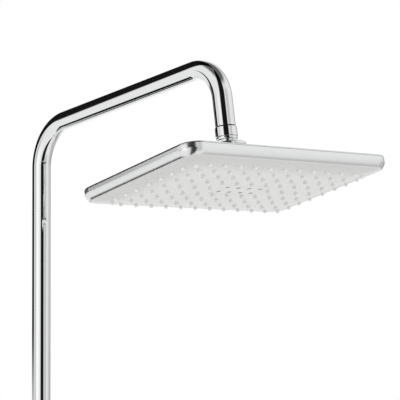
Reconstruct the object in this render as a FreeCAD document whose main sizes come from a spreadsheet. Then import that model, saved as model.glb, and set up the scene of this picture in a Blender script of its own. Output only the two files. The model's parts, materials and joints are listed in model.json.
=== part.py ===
import FreeCAD, Part
import math
import os
import re

import Sketcher

# A wall-mounted shower column: a thermostatic bar mixer at the foot, a bent riser pipe that turns in
# the mixer and in a wall bracket, and a rectangular overhead shower on a ball joint.
# X runs along the wall, +Y points into the wall (wall face at Y = 0) and +Z points up.
# The origin lies on the wall face, midway between the axes of the two wall inlets.

Vector = FreeCAD.Vector
UP = Vector(0, 0, 1)

# ------------------------------------------------------------------------------- driving sizes
SIZES = {
    # pipe run
    "riser_standoff": 62.0,
    "arm_corner_height": 1090.0,
    "arm_length": 317.5,
    "arm_rise": 9.0,
    "down_lean": 9.0,
    "upper_bend_radius": 55.0,
    "elbow_radius": 40.0,
    "pipe_diameter": 22.0,
    "pipe_wall": 1.0,
    "down_length": 72.0,
    "running_gap": 0.05,
    "seat_gap": 0.05,
    "part_gap": 0.3,
    "overlap": 2.0,
    # fitting in the lower end of the arm
    "fitting_depth": 15.0,
    "fitting_shoulder": 1.0,
    "fitting_bore": 7.5,
    "joint_thread_radius": 10.45,
    "joint_thread_length": 6.0,
    # ball joint between arm and head
    "ball_reach": 25.0,
    "ball_radius": 11.0,
    "stem_bore_radius": 4.5,
    "stem_neck_radius": 7.0,
    "stem_ring_radius": 11.7,
    "stem_ring_low": 9.6,
    "stem_ring_high": 12.8,
    "stem_ring_round": 1.8,
    "stem_groove_radius": 8.4,
    "stem_flange_radius": 10.2,
    "stem_flange_height": 2.0,
    "stem_pocket_radius": 6.0,
    "stem_pocket_depth": 4.5,
    "nut_radius": 12.0,
    "nut_low": 13.2,
    "nut_lip": 1.0,
    "nut_chamfer": 0.5,
    "washer_thickness": 1.5,
    "washer_bore": 6.2,
    "washer_squeeze_gap": 0.1,
    "screen_thickness": 0.8,
    "limiter_height": 3.6,
    "limiter_bore": 2.0,
    # socket in the head
    "seat_wall": 2.4,
    "seat_upper_angle": 20.0,
    "seat_lower_angle": 45.0,
    "cup_lower_angle": 65.0,
    "cup_floor": 1.8,
    "socket_radius": 15.0,
    "boss_radius": 20.0,
    "boss_top": 0.7,
    "retainer_height": 4.0,
    "retainer_bevel": 1.2,
    "retainer_skirt": 1.0,
    "retainer_lip_low": 1.8,
    "seal_ring_section": 0.85,
    # overhead shower
    "head_pitch": 13.5,
    "socket_offset": 6.0,
    "rim_drop": 43.0,
    "head_length": 291.0,
    "head_width": 183.0,
    "head_corner": 19.0,
    "rim_height": 15.0,
    "rim_low_round": 9.0,
    "rim_top_round": 2.5,
    "rim_wall": 2.4,
    "rim_band": 4.0,
    "ledge_thickness": 5.0,
    "lid_edge": 2.0,
    "lid_thickness": 1.8,
    "dome_rise": 9.0,
    "dome_foot_inset": 8.0,
    "plateau_length": 120.0,
    "plateau_width": 86.0,
    "plateau_corner": 24.0,
    "dome_wall": 3.0,
    "dome_foot_wall": 1.2,
    "stub_rise": 1.5,
    "water_hole_radius": 6.0,
    "face_recess": 0.6,
    "face_flange": 1.5,
    "face_round": 2.0,
    "pillow_depth": 5.2,
    "pillow_reach": 32.0,
    "mat_thickness": 1.2,
    "tray_thickness": 2.2,
    "tray_wall": 3.0,
    "chamber_seal_height": 1.0,
    "tray_slot_width": 3.0,
    "tray_slot_margin": 18.0,
    "nozzle_columns": 13,
    "column_pitch": 21.0,
    "first_row": 20.0,
    "row_pitch": 17.3,
    "rows_each_side": 4,
    "corner_pull_x": 5.7,
    "corner_pull_y": 4.6,
    "nozzle_length": 2.6,
    "nozzle_base_radius": 2.1,
    "nozzle_tip_radius": 1.8,
    "nozzle_bore_radius": 0.5,
    "nozzle_hole_gap": 0.2,
    "insert_length": 64.0,
    "insert_width": 30.0,
    "insert_corner": 4.0,
    "insert_thickness": 3.5,
    "insert_hole_radius": 2.7,
    "insert_columns": 4,
    "insert_column": 15.6,
    "insert_row": 14.6,
    "screw_column": 112.0,
    "screw_row": 62.0,
    "screw_boss_radius": 4.5,
    "screw_shank_radius": 1.5,
    "screw_head_radius": 3.0,
    "screw_head_height": 1.2,
    "screw_depth": 6.0,
    # thermostatic bar mixer
    "union_offset": 8.0,
    "inlet_spacing": 150.0,
    "mixer_radius": 21.0,
    "mixer_half_length": 94.0,
    "mixer_chamfer": 1.0,
    "mixer_bore": 16.0,
    "mixer_waist_bore": 11.0,
    "cartridge_depth": 50.0,
    "nut_seat_radius": 18.0,
    "nut_seat_depth": 8.0,
    "cartridge_nut_bore": 9.2,
    "cartridge_neck_radius": 9.0,
    "cartridge_neck_reach": 6.0,
    "spindle_radius": 5.0,
    "spindle_depth": 20.0,
    "spindle_reach": 30.0,
    "stop_ring_radius": 14.0,
    "stop_ring_width": 4.0,
    "handle_gap": 0.8,
    "handle_length": 42.0,
    "handle_wall": 3.0,
    "handle_hollow": 22.0,
    "handle_round": 2.5,
    "hub_radius": 8.0,
    "hub_gap": 1.0,
    "cap_seat_radius": 15.0,
    "cap_seat_depth": 6.0,
    "cap_thickness": 2.2,
    "handle_screw_head": 4.5,
    "handle_screw_shank": 2.0,
    "handle_screw_grip": 8.0,
    "flute_count": 24,
    "flute_radius": 1.6,
    "flute_depth": 0.5,
    "flute_margin": 9.0,
    # safety button in the temperature handle
    "button_station": 12.0,
    "button_radius": 4.0,
    "button_gap": 0.1,
    "button_proud": 2.6,
    "button_collar_radius": 5.2,
    "button_collar_height": 1.0,
    "spring_wire_radius": 0.35,
    "spring_radius": 3.0,
    "spring_turns": 4.0,
    "spring_points": 12,
    # riser connection on top of the mixer
    "port_radius": 15.0,
    "port_rise": 10.0,
    "port_bore": 10.0,
    "spigot_thread_depth": 12.0,
    "spigot_flange_radius": 13.5,
    "spigot_flange_height": 3.0,
    "spigot_length": 30.0,
    "spigot_bore": 7.0,
    "o_ring_section": 0.95,
    "o_ring_groove_width": 2.6,
    "o_ring_first": 9.0,
    "o_ring_pitch": 10.0,
    "foot_ring_radius": 13.3,
    "foot_ring_height": 4.0,
    "union_nut_radius": 17.5,
    "union_nut_lip": 4.0,
    "union_nut_skirt": 9.0,
    # hose outlet under the mixer
    "outlet_port_radius": 13.5,
    "outlet_port_drop": 6.0,
    "outlet_thread_radius": 10.48,
    "outlet_thread_length": 12.0,
    "outlet_collar_radius": 12.6,
    "outlet_collar_height": 3.0,
    "outlet_bore": 6.5,
    # wall inlets
    "wall_thread_radius": 10.48,
    "wall_thread_length": 14.0,
    "eccentric_radius": 15.0,
    "eccentric_back": 4.0,
    "eccentric_front": 12.0,
    "union_bore": 7.0,
    "union_thread_radius": 13.2,
    "union_face": 28.0,
    "inlet_washer_thickness": 2.0,
    "inlet_washer_bore": 8.5,
    "inlet_flange_radius": 13.0,
    "inlet_flange_width": 3.0,
    "inlet_neck_radius": 12.0,
    "inlet_bore": 8.0,
    "inlet_bore_depth": 22.0,
    "inlet_nut_radius": 17.0,
    "inlet_nut_lip": 3.5,
    "inlet_nut_skirt": 14.0,
    "valve_length": 14.0,
    "valve_bore": 4.0,
    "rose_radius": 33.0,
    "rose_edge": 3.0,
    "rose_shoulder_radius": 22.5,
    "rose_depth": 14.0,
    "rose_collar": 7.0,
    "rose_wall": 1.5,
    # wall bracket
    "bracket_height": 600.0,
    "flange_radius": 26.0,
    "flange_thickness": 6.0,
    "flange_chamfer": 1.5,
    "flange_spigot_radius": 6.0,
    "flange_spigot_length": 16.0,
    "bracket_hole_spacing": 34.0,
    "bracket_hole_radius": 2.6,
    "bracket_arm_radius": 9.0,
    "clamp_radius": 17.0,
    "clamp_height": 26.0,
    "bushing_wall": 2.0,
    "grub_radius": 2.0,
    "grub_station": 9.0,
}

# Places and sizes that follow from the driving sizes.
LAYOUT = {
    "riser_y": "-riser_standoff",
    "mixer_z": "union_offset",
    "half_spacing": "inlet_spacing / 2",
    "pipe_radius": "pipe_diameter / 2",
    "pipe_bore": "pipe_radius - pipe_wall",
    # pipe centre line
    "elbow_y": "riser_y - arm_length * cos(arm_rise)",
    "elbow_z": "arm_corner_height + arm_length * sin(arm_rise)",
    "first_reach": "upper_bend_radius * tan((90 - arm_rise) / 2)",
    "second_reach": "elbow_radius * tan((90 + arm_rise - down_lean) / 2)",
    "ball_drop": "down_length + ball_reach",
    "ball_y": "elbow_y - ball_drop * sin(down_lean)",
    "ball_z": "elbow_z - ball_drop * cos(down_lean)",
    # ball joint, heights above the ball's centre along the arm's lower end
    "thread_end": "ball_reach - fitting_shoulder - joint_thread_length",
    "nut_bore": "joint_thread_radius + running_gap",
    "stem_top": "thread_end - washer_thickness - washer_squeeze_gap",
    "seat_inner": "ball_radius + seat_gap",
    "seat_outer": "seat_inner + seat_wall",
    "cup_inner": "seat_outer + seat_gap",
    "cup_low": "-cup_inner * sin(cup_lower_angle) - cup_floor",
    "retainer_top": "boss_top + retainer_height + part_gap",
    # head, heights above the ball's centre square to its face
    "face_y": "-socket_offset",
    "rim_low": "-rim_drop",
    "rim_top": "rim_low + rim_height",
    "face_edge": "rim_low + face_recess",
    "face_length": "head_length - 2 * rim_band",
    "face_width": "head_width - 2 * rim_band",
    "face_corner": "head_corner - rim_band",
    "inside_length": "head_length - 2 * rim_wall",
    "inside_width": "head_width - 2 * rim_wall",
    "inside_corner": "head_corner - rim_wall",
    "pillow_length": "face_length - 2 * part_gap - 2 * face_round",
    "pillow_width": "face_width - 2 * part_gap - 2 * face_round",
    "pillow_corner": "face_corner - part_gap - face_round",
    "ledge_top": "rim_low + ledge_thickness",
    "plate_back": "ledge_top + face_flange",
    "mat_back": "plate_back + mat_thickness",
    "tray_floor": "mat_back + tray_thickness",
    "lid_low": "rim_top - lid_edge - lid_thickness",
    "tray_top": "lid_low - chamber_seal_height",
    "plateau_top": "rim_top + dome_rise",
    # mixer, stations along its axis
    "nut_face": "mixer_half_length - nut_seat_depth",
    "handle_start": "mixer_half_length + handle_gap",
    "handle_end": "handle_start + handle_length",
    "handle_web": "handle_start + handle_hollow",
    "handle_inner": "mixer_radius - handle_wall",
    "cap_floor": "handle_end - cap_seat_depth",
    "hub_start": "mixer_half_length + cartridge_neck_reach + hub_gap",
    "collar_top": "sqrt(handle_inner ^ 2 - button_collar_radius ^ 2) - running_gap",
    "collar_low": "collar_top - button_collar_height",
    "spindle_end": "mixer_half_length + spindle_reach",
    "spindle_start": "mixer_half_length - spindle_depth",
    "screw_end": "spindle_end - handle_screw_grip",
    # riser connection, heights above the mixer's axis
    "port_top": "mixer_radius + port_rise",
    "spigot_seat": "port_top + spigot_flange_height",
    "pipe_foot": "spigot_seat + part_gap",
    "foot_ring_top": "pipe_foot + foot_ring_height",
    "union_lip_low": "foot_ring_top + part_gap",
    "o_ring_inner": "pipe_bore - running_gap - 2 * o_ring_section",
    # wall inlets, Y of their faces
    "washer_face": "-union_face - inlet_washer_thickness",
    "inlet_lip": "washer_face - inlet_flange_width",
    "eccentric_middle": "(eccentric_back + eccentric_front) / 2",
    # wall bracket
    "clamp_bore": "pipe_radius + running_gap + bushing_wall",
}

# ---------------------------------------------------------------------------------- document
doc = FreeCAD.newDocument("ShowerColumn")
sheet = doc.addObject("Spreadsheet::Sheet", "Sizes")
for row, (alias, size) in enumerate(SIZES.items(), start=1):
    sheet.set(f"A{row}", str(size))
    sheet.setAlias(f"A{row}", alias)
doc.recompute()


def bound(rule):
    """Return a rule with each size named together with the object that holds it."""
    def with_owner(match):
        word = match.group(0)
        if word in SIZES:
            return "Sizes." + word
        if word in LAYOUT:
            return "Layout." + word
        return word
    return re.sub(r"[a-z_][a-z_0-9]*", with_owner, str(rule))


layout = doc.addObject("App::VarSet", "Layout")
for name, rule in LAYOUT.items():
    layout.addProperty("App::PropertyFloat", name)
    layout.setExpression(name, bound(rule))
doc.recompute()


def value_of(rule):
    """Return the number that a rule gives with the present sizes."""
    return float(sheet.evalExpression(bound(rule)))


pieces = []


def keep(piece, label):
    """Name a finished sub-part and put it on the list of kept pieces."""
    piece.Label = label
    pieces.append(piece)
    return piece


def place(piece, x="0", y="0", z="0", axis=None, angle="0"):
    """Bind a piece's place, and its turn about an axis, to rules."""
    if axis is not None:
        piece.Placement = FreeCAD.Placement(Vector(), FreeCAD.Rotation(axis, value_of(angle)))
        piece.setExpression("Placement.Rotation.Angle", bound(angle))
    for name, rule in zip("xyz", (x, y, z)):
        piece.setExpression(f"Placement.Base.{name}", bound(rule))
    return piece


# ---------------------------------------------------------------------------------- sketching
def new_body(label):
    """Return an empty body."""
    return doc.addObject("PartDesign::Body", label)


def new_sketch(body, name, role="XY_Plane", height="0"):
    """Return a sketch on one of the body's own origin planes, at a height above it."""
    sketch = body.newObject("Sketcher::SketchObject", name)
    plane = next(item for item in body.Origin.OriginFeatures if item.Role == role)
    sketch.AttachmentSupport = [(plane, "")]
    sketch.MapMode = "FlatFace"
    sketch.setExpression("AttachmentOffset.Base.z", bound(height))
    return sketch


def fix_point(sketch, edge, end, x, y):
    """Hold a point of a sketch at the coordinates that two rules give; None leaves one free."""
    for kind, rule in (("DistanceX", x), ("DistanceY", y)):
        if rule is not None:
            held = Sketcher.Constraint(kind, -1, 1, edge, end, value_of(rule))
            number = sketch.addConstraint(held)
            sketch.setExpression(f"Constraints[{number}]", bound(rule))


def arc_between(before, here, centre, turns_left):
    """Return an arc about a centre from one point to the next."""
    circle = Part.Circle(Vector(*centre, 0), UP, math.dist(here, centre))
    angles = [math.atan2(spot[1] - centre[1], spot[0] - centre[0]) for spot in (before, here)]
    if not turns_left:
        angles.reverse()
    return Part.ArcOfCircle(circle, *angles)


def draw(sketch, corners, closed=True):
    """Draw an outline through corners.

    A corner (x, y) is reached by a straight line; (x, y, centre_x, centre_y, turns_left) by an arc.
    """
    spots = [(value_of(corner[0]), value_of(corner[1])) for corner in corners]
    runs = []
    for index, corner in enumerate(corners):
        if index == 0 and not closed:
            continue
        before, here = spots[index - 1], spots[index]
        if len(corner) == 2:
            edge = sketch.addGeometry(Part.LineSegment(Vector(*before, 0), Vector(*here, 0)))
            runs.append((edge, 1, 2, index))
            continue
        centre = (value_of(corner[2]), value_of(corner[3]))
        edge = sketch.addGeometry(arc_between(before, here, centre, corner[4]))
        ends = (1, 2) if corner[4] else (2, 1)
        runs.append((edge, *ends, index))
    for run, following in zip(runs, runs[1:]):
        meeting = Sketcher.Constraint("Coincident", run[0], run[2], following[0], following[1])
        sketch.addConstraint(meeting)
    if closed:
        meeting = Sketcher.Constraint("Coincident", runs[-1][0], runs[-1][2], runs[0][0], runs[0][1])
        sketch.addConstraint(meeting)
    else:
        fix_point(sketch, runs[0][0], runs[0][1], *corners[0][:2])
    for edge, _, end, index in runs:
        corner = corners[index]
        fix_point(sketch, edge, end, corner[0], corner[1])
        if len(corner) > 2:
            middle = [(a + b) / 2 for a, b in zip(spots[index - 1], spots[index])]
            across = abs(middle[0] - value_of(corner[2])) > abs(middle[1] - value_of(corner[3]))
            held = (corner[2], None) if across else (None, corner[3])
            fix_point(sketch, edge, 3, *held)
    return sketch


def rectangle(sketch, length, width, radius, y="0"):
    """Draw a rectangle with round corners about (0, y)."""
    east, north = f"({length}) / 2", f"({y}) + ({width}) / 2"
    west, south = f"-({length}) / 2", f"({y}) - ({width}) / 2"
    r = f"({radius})"
    return draw(sketch, [
        (f"{west} + {r}", south),
        (f"{east} - {r}", south),
        (east, f"{south} + {r}", f"{east} - {r}", f"{south} + {r}", True),
        (east, f"{north} - {r}"),
        (f"{east} - {r}", north, f"{east} - {r}", f"{north} - {r}", True),
        (f"{west} + {r}", north),
        (west, f"{north} - {r}", f"{west} + {r}", f"{north} - {r}", True),
        (west, f"{south} + {r}"),
        (f"{west} + {r}", south, f"{west} + {r}", f"{south} + {r}", True),
    ][1:])


def circle(sketch, radius, x="0", y="0"):
    """Draw a circle."""
    centre = Vector(value_of(x), value_of(y), 0)
    edge = sketch.addGeometry(Part.Circle(centre, UP, value_of(radius)))
    fix_point(sketch, edge, 3, x, y)
    number = sketch.addConstraint(Sketcher.Constraint("Radius", edge, value_of(radius)))
    sketch.setExpression(f"Constraints[{number}]", bound(radius))
    return sketch


def grow(body, kind, name, sketch, length, down=False):
    """Pad or pocket a sketch by a length, along its normal or against it."""
    feature = body.newObject(f"PartDesign::{kind}", name)
    feature.Profile = sketch
    feature.Reversed = down
    feature.setExpression("Length", bound(length))
    return feature


def round_edges(body, name, feature, radius, wanted):
    """Round the edges of a feature that a test picks out."""
    doc.recompute()
    edges = [f"Edge{n}" for n, edge in enumerate(feature.Shape.Edges, start=1) if wanted(edge)]
    blend = body.newObject("PartDesign::Fillet", name)
    blend.Base = (feature, edges)
    blend.setExpression("Radius", bound(radius))
    return blend


def lies_at(edge, height):
    """Tell whether an edge lies flat at a height."""
    box = edge.BoundBox
    return abs(box.ZMin - height) < 1e-4 and abs(box.ZMax - height) < 1e-4


def turned(label, corners, role="XZ_Plane", axis="V_Axis"):
    """Return a body of revolution; its outline lies in a plane with the axis."""
    body = new_body(label)
    sketch = draw(new_sketch(body, label + "_outline", role), corners)
    feature = body.newObject("PartDesign::Revolution", label + "_turning")
    feature.Profile = sketch
    feature.ReferenceAxis = (sketch, [axis])
    feature.Angle = 360
    return body


def ring(label, inner, outer, low, high):
    """Return a plain ring or, with an inner radius of 0, a disc about Z."""
    return turned(label, [(inner, low), (outer, low), (outer, high), (inner, high)])


# ------------------------------------------------------------------------------- primitives
TURNS = {"X": (Vector(0, 1, 0), 90), "Y": (Vector(1, 0, 0), -90), "Z": (Vector(0, 0, 1), 0),
         "-Y": (Vector(1, 0, 0), 90), "-Z": (Vector(1, 0, 0), 180)}


def rod(name, radius, length, x="0", y="0", z="0", along="Z"):
    """Return a cylinder that starts at a point and runs along an axis."""
    item = doc.addObject("Part::Cylinder", name)
    item.Placement = FreeCAD.Placement(Vector(), FreeCAD.Rotation(*TURNS[along]))
    item.setExpression("Radius", bound(radius))
    item.setExpression("Height", bound(length))
    for axis, rule in zip("xyz", (x, y, z)):
        item.setExpression(f"Placement.Base.{axis}", bound(rule))
    return item


def torus(name, radius, section, height):
    """Return a ring of round section about Z, at a height."""
    item = doc.addObject("Part::Torus", name)
    item.setExpression("Radius1", bound(radius))
    item.setExpression("Radius2", bound(section))
    item.setExpression("Placement.Base.z", bound(height))
    return item


def grouped(name, *items):
    """Return items held together as separate solids with a placement of their own."""
    item = doc.addObject("Part::Compound", name)
    item.Links = list(items)
    return item


def joined(name, *items):
    """Return items fused into one solid."""
    item = doc.addObject("Part::MultiFuse", name)
    item.Shapes = list(items)
    item.Refine = True
    return item


def less(name, base, *tools):
    """Return a solid with the tools cut out of it."""
    tool = tools[0]
    if len(tools) > 1:
        tool = joined(name + "_tools", *tools)
    item = doc.addObject("Part::Cut", name)
    item.Base = base
    item.Tool = tool
    return item


# ------------------------------------------------------------------------------- riser and arm
def build_pipe():
    """Riser and arm: one tube with two bends, its end fitting and the ring at its foot."""
    body = new_body("riser_arm_pipe")
    path = new_sketch(body, "pipe_path", "YZ_Plane")
    run = {"cos_rise": "cos(arm_rise)", "sin_rise": "sin(arm_rise)",
           "cos_lean": "cos(down_lean)", "sin_lean": "sin(down_lean)"}
    first_centre = ("riser_y - upper_bend_radius", "arm_corner_height - first_reach")
    second_start = (f"elbow_y + second_reach * {run['cos_rise']}",
                    f"elbow_z - second_reach * {run['sin_rise']}")
    second_centre = (f"{second_start[0]} - elbow_radius * {run['sin_rise']}",
                     f"{second_start[1]} - elbow_radius * {run['cos_rise']}")
    draw(path, [
        ("riser_y", "mixer_z + pipe_foot"),
        ("riser_y", "arm_corner_height - first_reach"),
        (f"riser_y - first_reach * {run['cos_rise']}", f"arm_corner_height + first_reach * {run['sin_rise']}",
         *first_centre, True),
        second_start,
        (f"elbow_y - second_reach * {run['sin_lean']}", f"elbow_z - second_reach * {run['cos_lean']}",
         *second_centre, True),
        (f"elbow_y - down_length * {run['sin_lean']}", f"elbow_z - down_length * {run['cos_lean']}"),
    ], closed=False)
    section = new_sketch(body, "pipe_section", "XY_Plane", "mixer_z + pipe_foot")
    circle(section, "pipe_radius", y="riser_y")
    circle(section, "pipe_bore", y="riser_y")
    sweep = body.newObject("PartDesign::AdditivePipe", "pipe_sweep")
    sweep.Profile = section
    sweep.Spine = path
    keep(place(body), "riser_arm_pipe")

    ring_piece = ring("pipe_foot_ring", "pipe_radius", "foot_ring_radius", "pipe_foot", "foot_ring_top")
    keep(place(ring_piece, y="riser_y", z="mixer_z"), "pipe_foot_ring")

    fitting = turned("arm_end_fitting", [
        ("fitting_bore", "thread_end"),
        ("joint_thread_radius", "thread_end"),
        ("joint_thread_radius", "ball_reach - fitting_shoulder"),
        ("pipe_radius", "ball_reach - fitting_shoulder"),
        ("pipe_radius", "ball_reach"),
        ("pipe_bore", "ball_reach"),
        ("pipe_bore", "ball_reach + fitting_depth"),
        ("fitting_bore", "ball_reach + fitting_depth"),
    ])
    keep(place(fitting, "0", "ball_y", "ball_z", Vector(-1, 0, 0), "down_lean"), "arm_end_fitting")


# ------------------------------------------------------------------------------- ball joint
def on_sphere(radius, angle):
    """Return the radius and height of a point on a sphere, at an angle above its equator."""
    return f"{radius} * cos({angle})", f"{radius} * sin({angle})"


def build_ball_joint():
    """The swivelling part of the ball joint, in line with the arm's lower end."""
    def along_arm(piece, label):
        keep(place(piece, "0", "ball_y", "ball_z", Vector(-1, 0, 0), "down_lean"), label)

    bore_low = "-sqrt(ball_radius ^ 2 - stem_bore_radius ^ 2)"
    neck_low = "sqrt(ball_radius ^ 2 - stem_neck_radius ^ 2)"
    flange_low = "stem_top - stem_flange_height"
    pocket_floor = "stem_top - stem_pocket_depth"
    inner_ring = "stem_ring_radius - stem_ring_round"
    along_arm(turned("ball_stem", [
        ("stem_bore_radius", bore_low),
        ("stem_neck_radius", neck_low, "0", "0", True),
        ("stem_neck_radius", "stem_ring_low"),
        (inner_ring, "stem_ring_low"),
        ("stem_ring_radius", "stem_ring_low + stem_ring_round", inner_ring,
         "stem_ring_low + stem_ring_round", True),
        ("stem_ring_radius", "stem_ring_high"),
        ("stem_groove_radius", "stem_ring_high"),
        ("stem_groove_radius", flange_low),
        ("stem_flange_radius", flange_low),
        ("stem_flange_radius", "stem_top"),
        ("stem_pocket_radius", "stem_top"),
        ("stem_pocket_radius", pocket_floor),
        ("stem_bore_radius", pocket_floor),
    ]), "ball_stem")

    along_arm(turned("ball_joint_nut", [
        ("stem_groove_radius + running_gap", "nut_low"),
        ("nut_radius - nut_chamfer", "nut_low"),
        ("nut_radius", "nut_low + nut_chamfer"),
        ("nut_radius", "ball_reach - fitting_shoulder - part_gap"),
        ("nut_bore", "ball_reach - fitting_shoulder - part_gap"),
        ("nut_bore", "nut_low + nut_lip"),
        ("stem_groove_radius + running_gap", "nut_low + nut_lip"),
    ]), "ball_joint_nut")

    washer_low = "stem_top"
    washer_high = "stem_top + washer_thickness"
    along_arm(ring("stem_washer", "washer_bore", "stem_flange_radius", washer_low, washer_high),
              "stem_washer")
    along_arm(ring("filter_screen", "0", "washer_bore - running_gap", washer_low,
                   "stem_top + screen_thickness"), "filter_screen")
    along_arm(ring("flow_limiter", "limiter_bore", "stem_pocket_radius - running_gap", pocket_floor,
                   f"{pocket_floor} + limiter_height"), "flow_limiter")


def in_head(piece, label):
    """Place a piece in the tilted frame of the head and keep it."""
    keep(place(piece, "0", "ball_y", "ball_z", Vector(-1, 0, 0), "head_pitch"), label)


def build_socket():
    """The seat, cup, seal and retainer that hold the ball in the head."""
    upper_in, upper_in_z = on_sphere("seat_inner", "-seat_upper_angle")
    lower_in, lower_in_z = on_sphere("seat_inner", "-seat_lower_angle")
    upper_out, upper_out_z = on_sphere("seat_outer", "-seat_upper_angle")
    lower_out, lower_out_z = on_sphere("seat_outer", "-seat_lower_angle")
    in_head(turned("ball_seat", [
        (lower_in, lower_in_z),
        (lower_out, lower_out_z),
        (upper_out, upper_out_z, "0", "0", True),
        (upper_in, upper_in_z),
        (lower_in, lower_in_z, "0", "0", False),
    ][1:]), "ball_seat")

    mouth, mouth_z = on_sphere("cup_inner", "-cup_lower_angle")
    in_head(turned("socket_cup", [
        (mouth, "cup_low"),
        ("socket_radius", "cup_low"),
        ("socket_radius", "-part_gap"),
        ("sqrt(cup_inner ^ 2 - part_gap ^ 2)", "-part_gap"),
        (mouth, mouth_z, "0", "0", False),
    ]), "socket_cup")

    lip = "ball_radius + seat_gap"
    seal_room = "seat_inner + 2 * seal_ring_section + running_gap"
    in_head(turned("ball_retainer", [
        (seal_room, "-retainer_skirt + boss_top + part_gap"),
        ("socket_radius", "-retainer_skirt + boss_top + part_gap"),
        ("socket_radius", "boss_top + part_gap"),
        ("boss_radius", "boss_top + part_gap"),
        ("boss_radius", "retainer_top - retainer_bevel"),
        ("boss_radius - retainer_bevel", "retainer_top"),
        (f"sqrt(({lip}) ^ 2 - retainer_top ^ 2)", "retainer_top"),
        (f"sqrt(({lip}) ^ 2 - retainer_lip_low ^ 2)", "retainer_lip_low", "0", "0", False),
        (seal_room, "retainer_lip_low"),
    ]), "ball_retainer")

    seal = torus("ball_seal_ring", "seat_inner + seal_ring_section", "seal_ring_section",
                 "seal_ring_section + running_gap - part_gap")
    in_head(grouped("ball_seal", seal), "ball_seal")


# ------------------------------------------------------------------------------- overhead shower
PILLOW_STEPS = 3


def screw_spots():
    """Return the places of the screws that hold the tray to the lid."""
    return [(column, row) for column in ("-screw_column", "0", "screw_column")
            for row in ("face_y - screw_row", "face_y + screw_row")]


def nozzle_spots():
    """Return the X and Y of each nozzle about the middle of the face."""
    half_columns = (SIZES["nozzle_columns"] - 1) // 2
    pitch = value_of("column_pitch")
    rows = [0.0]
    for step in range(SIZES["rows_each_side"]):
        reach = value_of("first_row") + step * value_of("row_pitch")
        rows += [reach, -reach]
    spots = []
    for y in rows:
        for column in range(-half_columns, half_columns + 1):
            x = column * pitch
            over_insert = (abs(x) < value_of("insert_length / 2 + nozzle_base_radius")
                           and abs(y) < value_of("insert_width / 2 + nozzle_base_radius"))
            if over_insert:
                continue
            if abs(column) == half_columns and abs(y) == max(rows):
                x -= math.copysign(value_of("corner_pull_x"), x)
                y_here = y - math.copysign(value_of("corner_pull_y"), y)
                spots.append((x, y_here))
                continue
            spots.append((x, y))
    return spots


def pillow(inset):
    """Return how far the face stands down, a distance in from its edge."""
    share = 1 - min(max(inset, 0) / value_of("pillow_reach"), 1)
    return value_of("pillow_depth") * (1 - share ** 2)


def face_height(x, y):
    """Return the height of the spray face at a point about its middle."""
    inset = min(value_of("pillow_length") / 2 - abs(x), value_of("pillow_width") / 2 - abs(y))
    return value_of("face_edge") - pillow(inset)


def loose_solid(name, shape):
    """Return a feature that holds a shape made from the sheet's sizes."""
    item = doc.addObject("Part::Feature", name)
    item.Shape = shape
    return item


def build_rim():
    """The frame round the head, with the ledge that carries the spray face."""
    body = new_body("head_rim")
    outer = rectangle(new_sketch(body, "rim_outer", height="rim_low"), "head_length", "head_width",
                      "head_corner", "face_y")
    wall = grow(body, "Pad", "rim_wall_pad", outer, "rim_height")
    low, top = value_of("rim_low"), value_of("rim_top")
    lower = round_edges(body, "rim_lower_round", wall, "rim_low_round", lambda edge: lies_at(edge, low))
    round_edges(body, "rim_upper_round", lower, "rim_top_round", lambda edge: lies_at(edge, top))
    crown = rectangle(new_sketch(body, "rim_crown", height="rim_top"), "head_length", "head_width",
                      "head_corner", "face_y")
    grow(body, "Pocket", "rim_crown_cut", crown, "lid_edge + part_gap")
    opening = rectangle(new_sketch(body, "rim_opening", height="rim_low"), "face_length", "face_width",
                        "face_corner", "face_y")
    grow(body, "Pocket", "rim_opening_cut", opening, "rim_height", down=True)
    inside = rectangle(new_sketch(body, "rim_inside", height="ledge_top"), "inside_length", "inside_width",
                       "inside_corner", "face_y")
    grow(body, "Pocket", "rim_inside_cut", inside, "rim_height", down=True)
    in_head(body, "head_rim")


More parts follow.
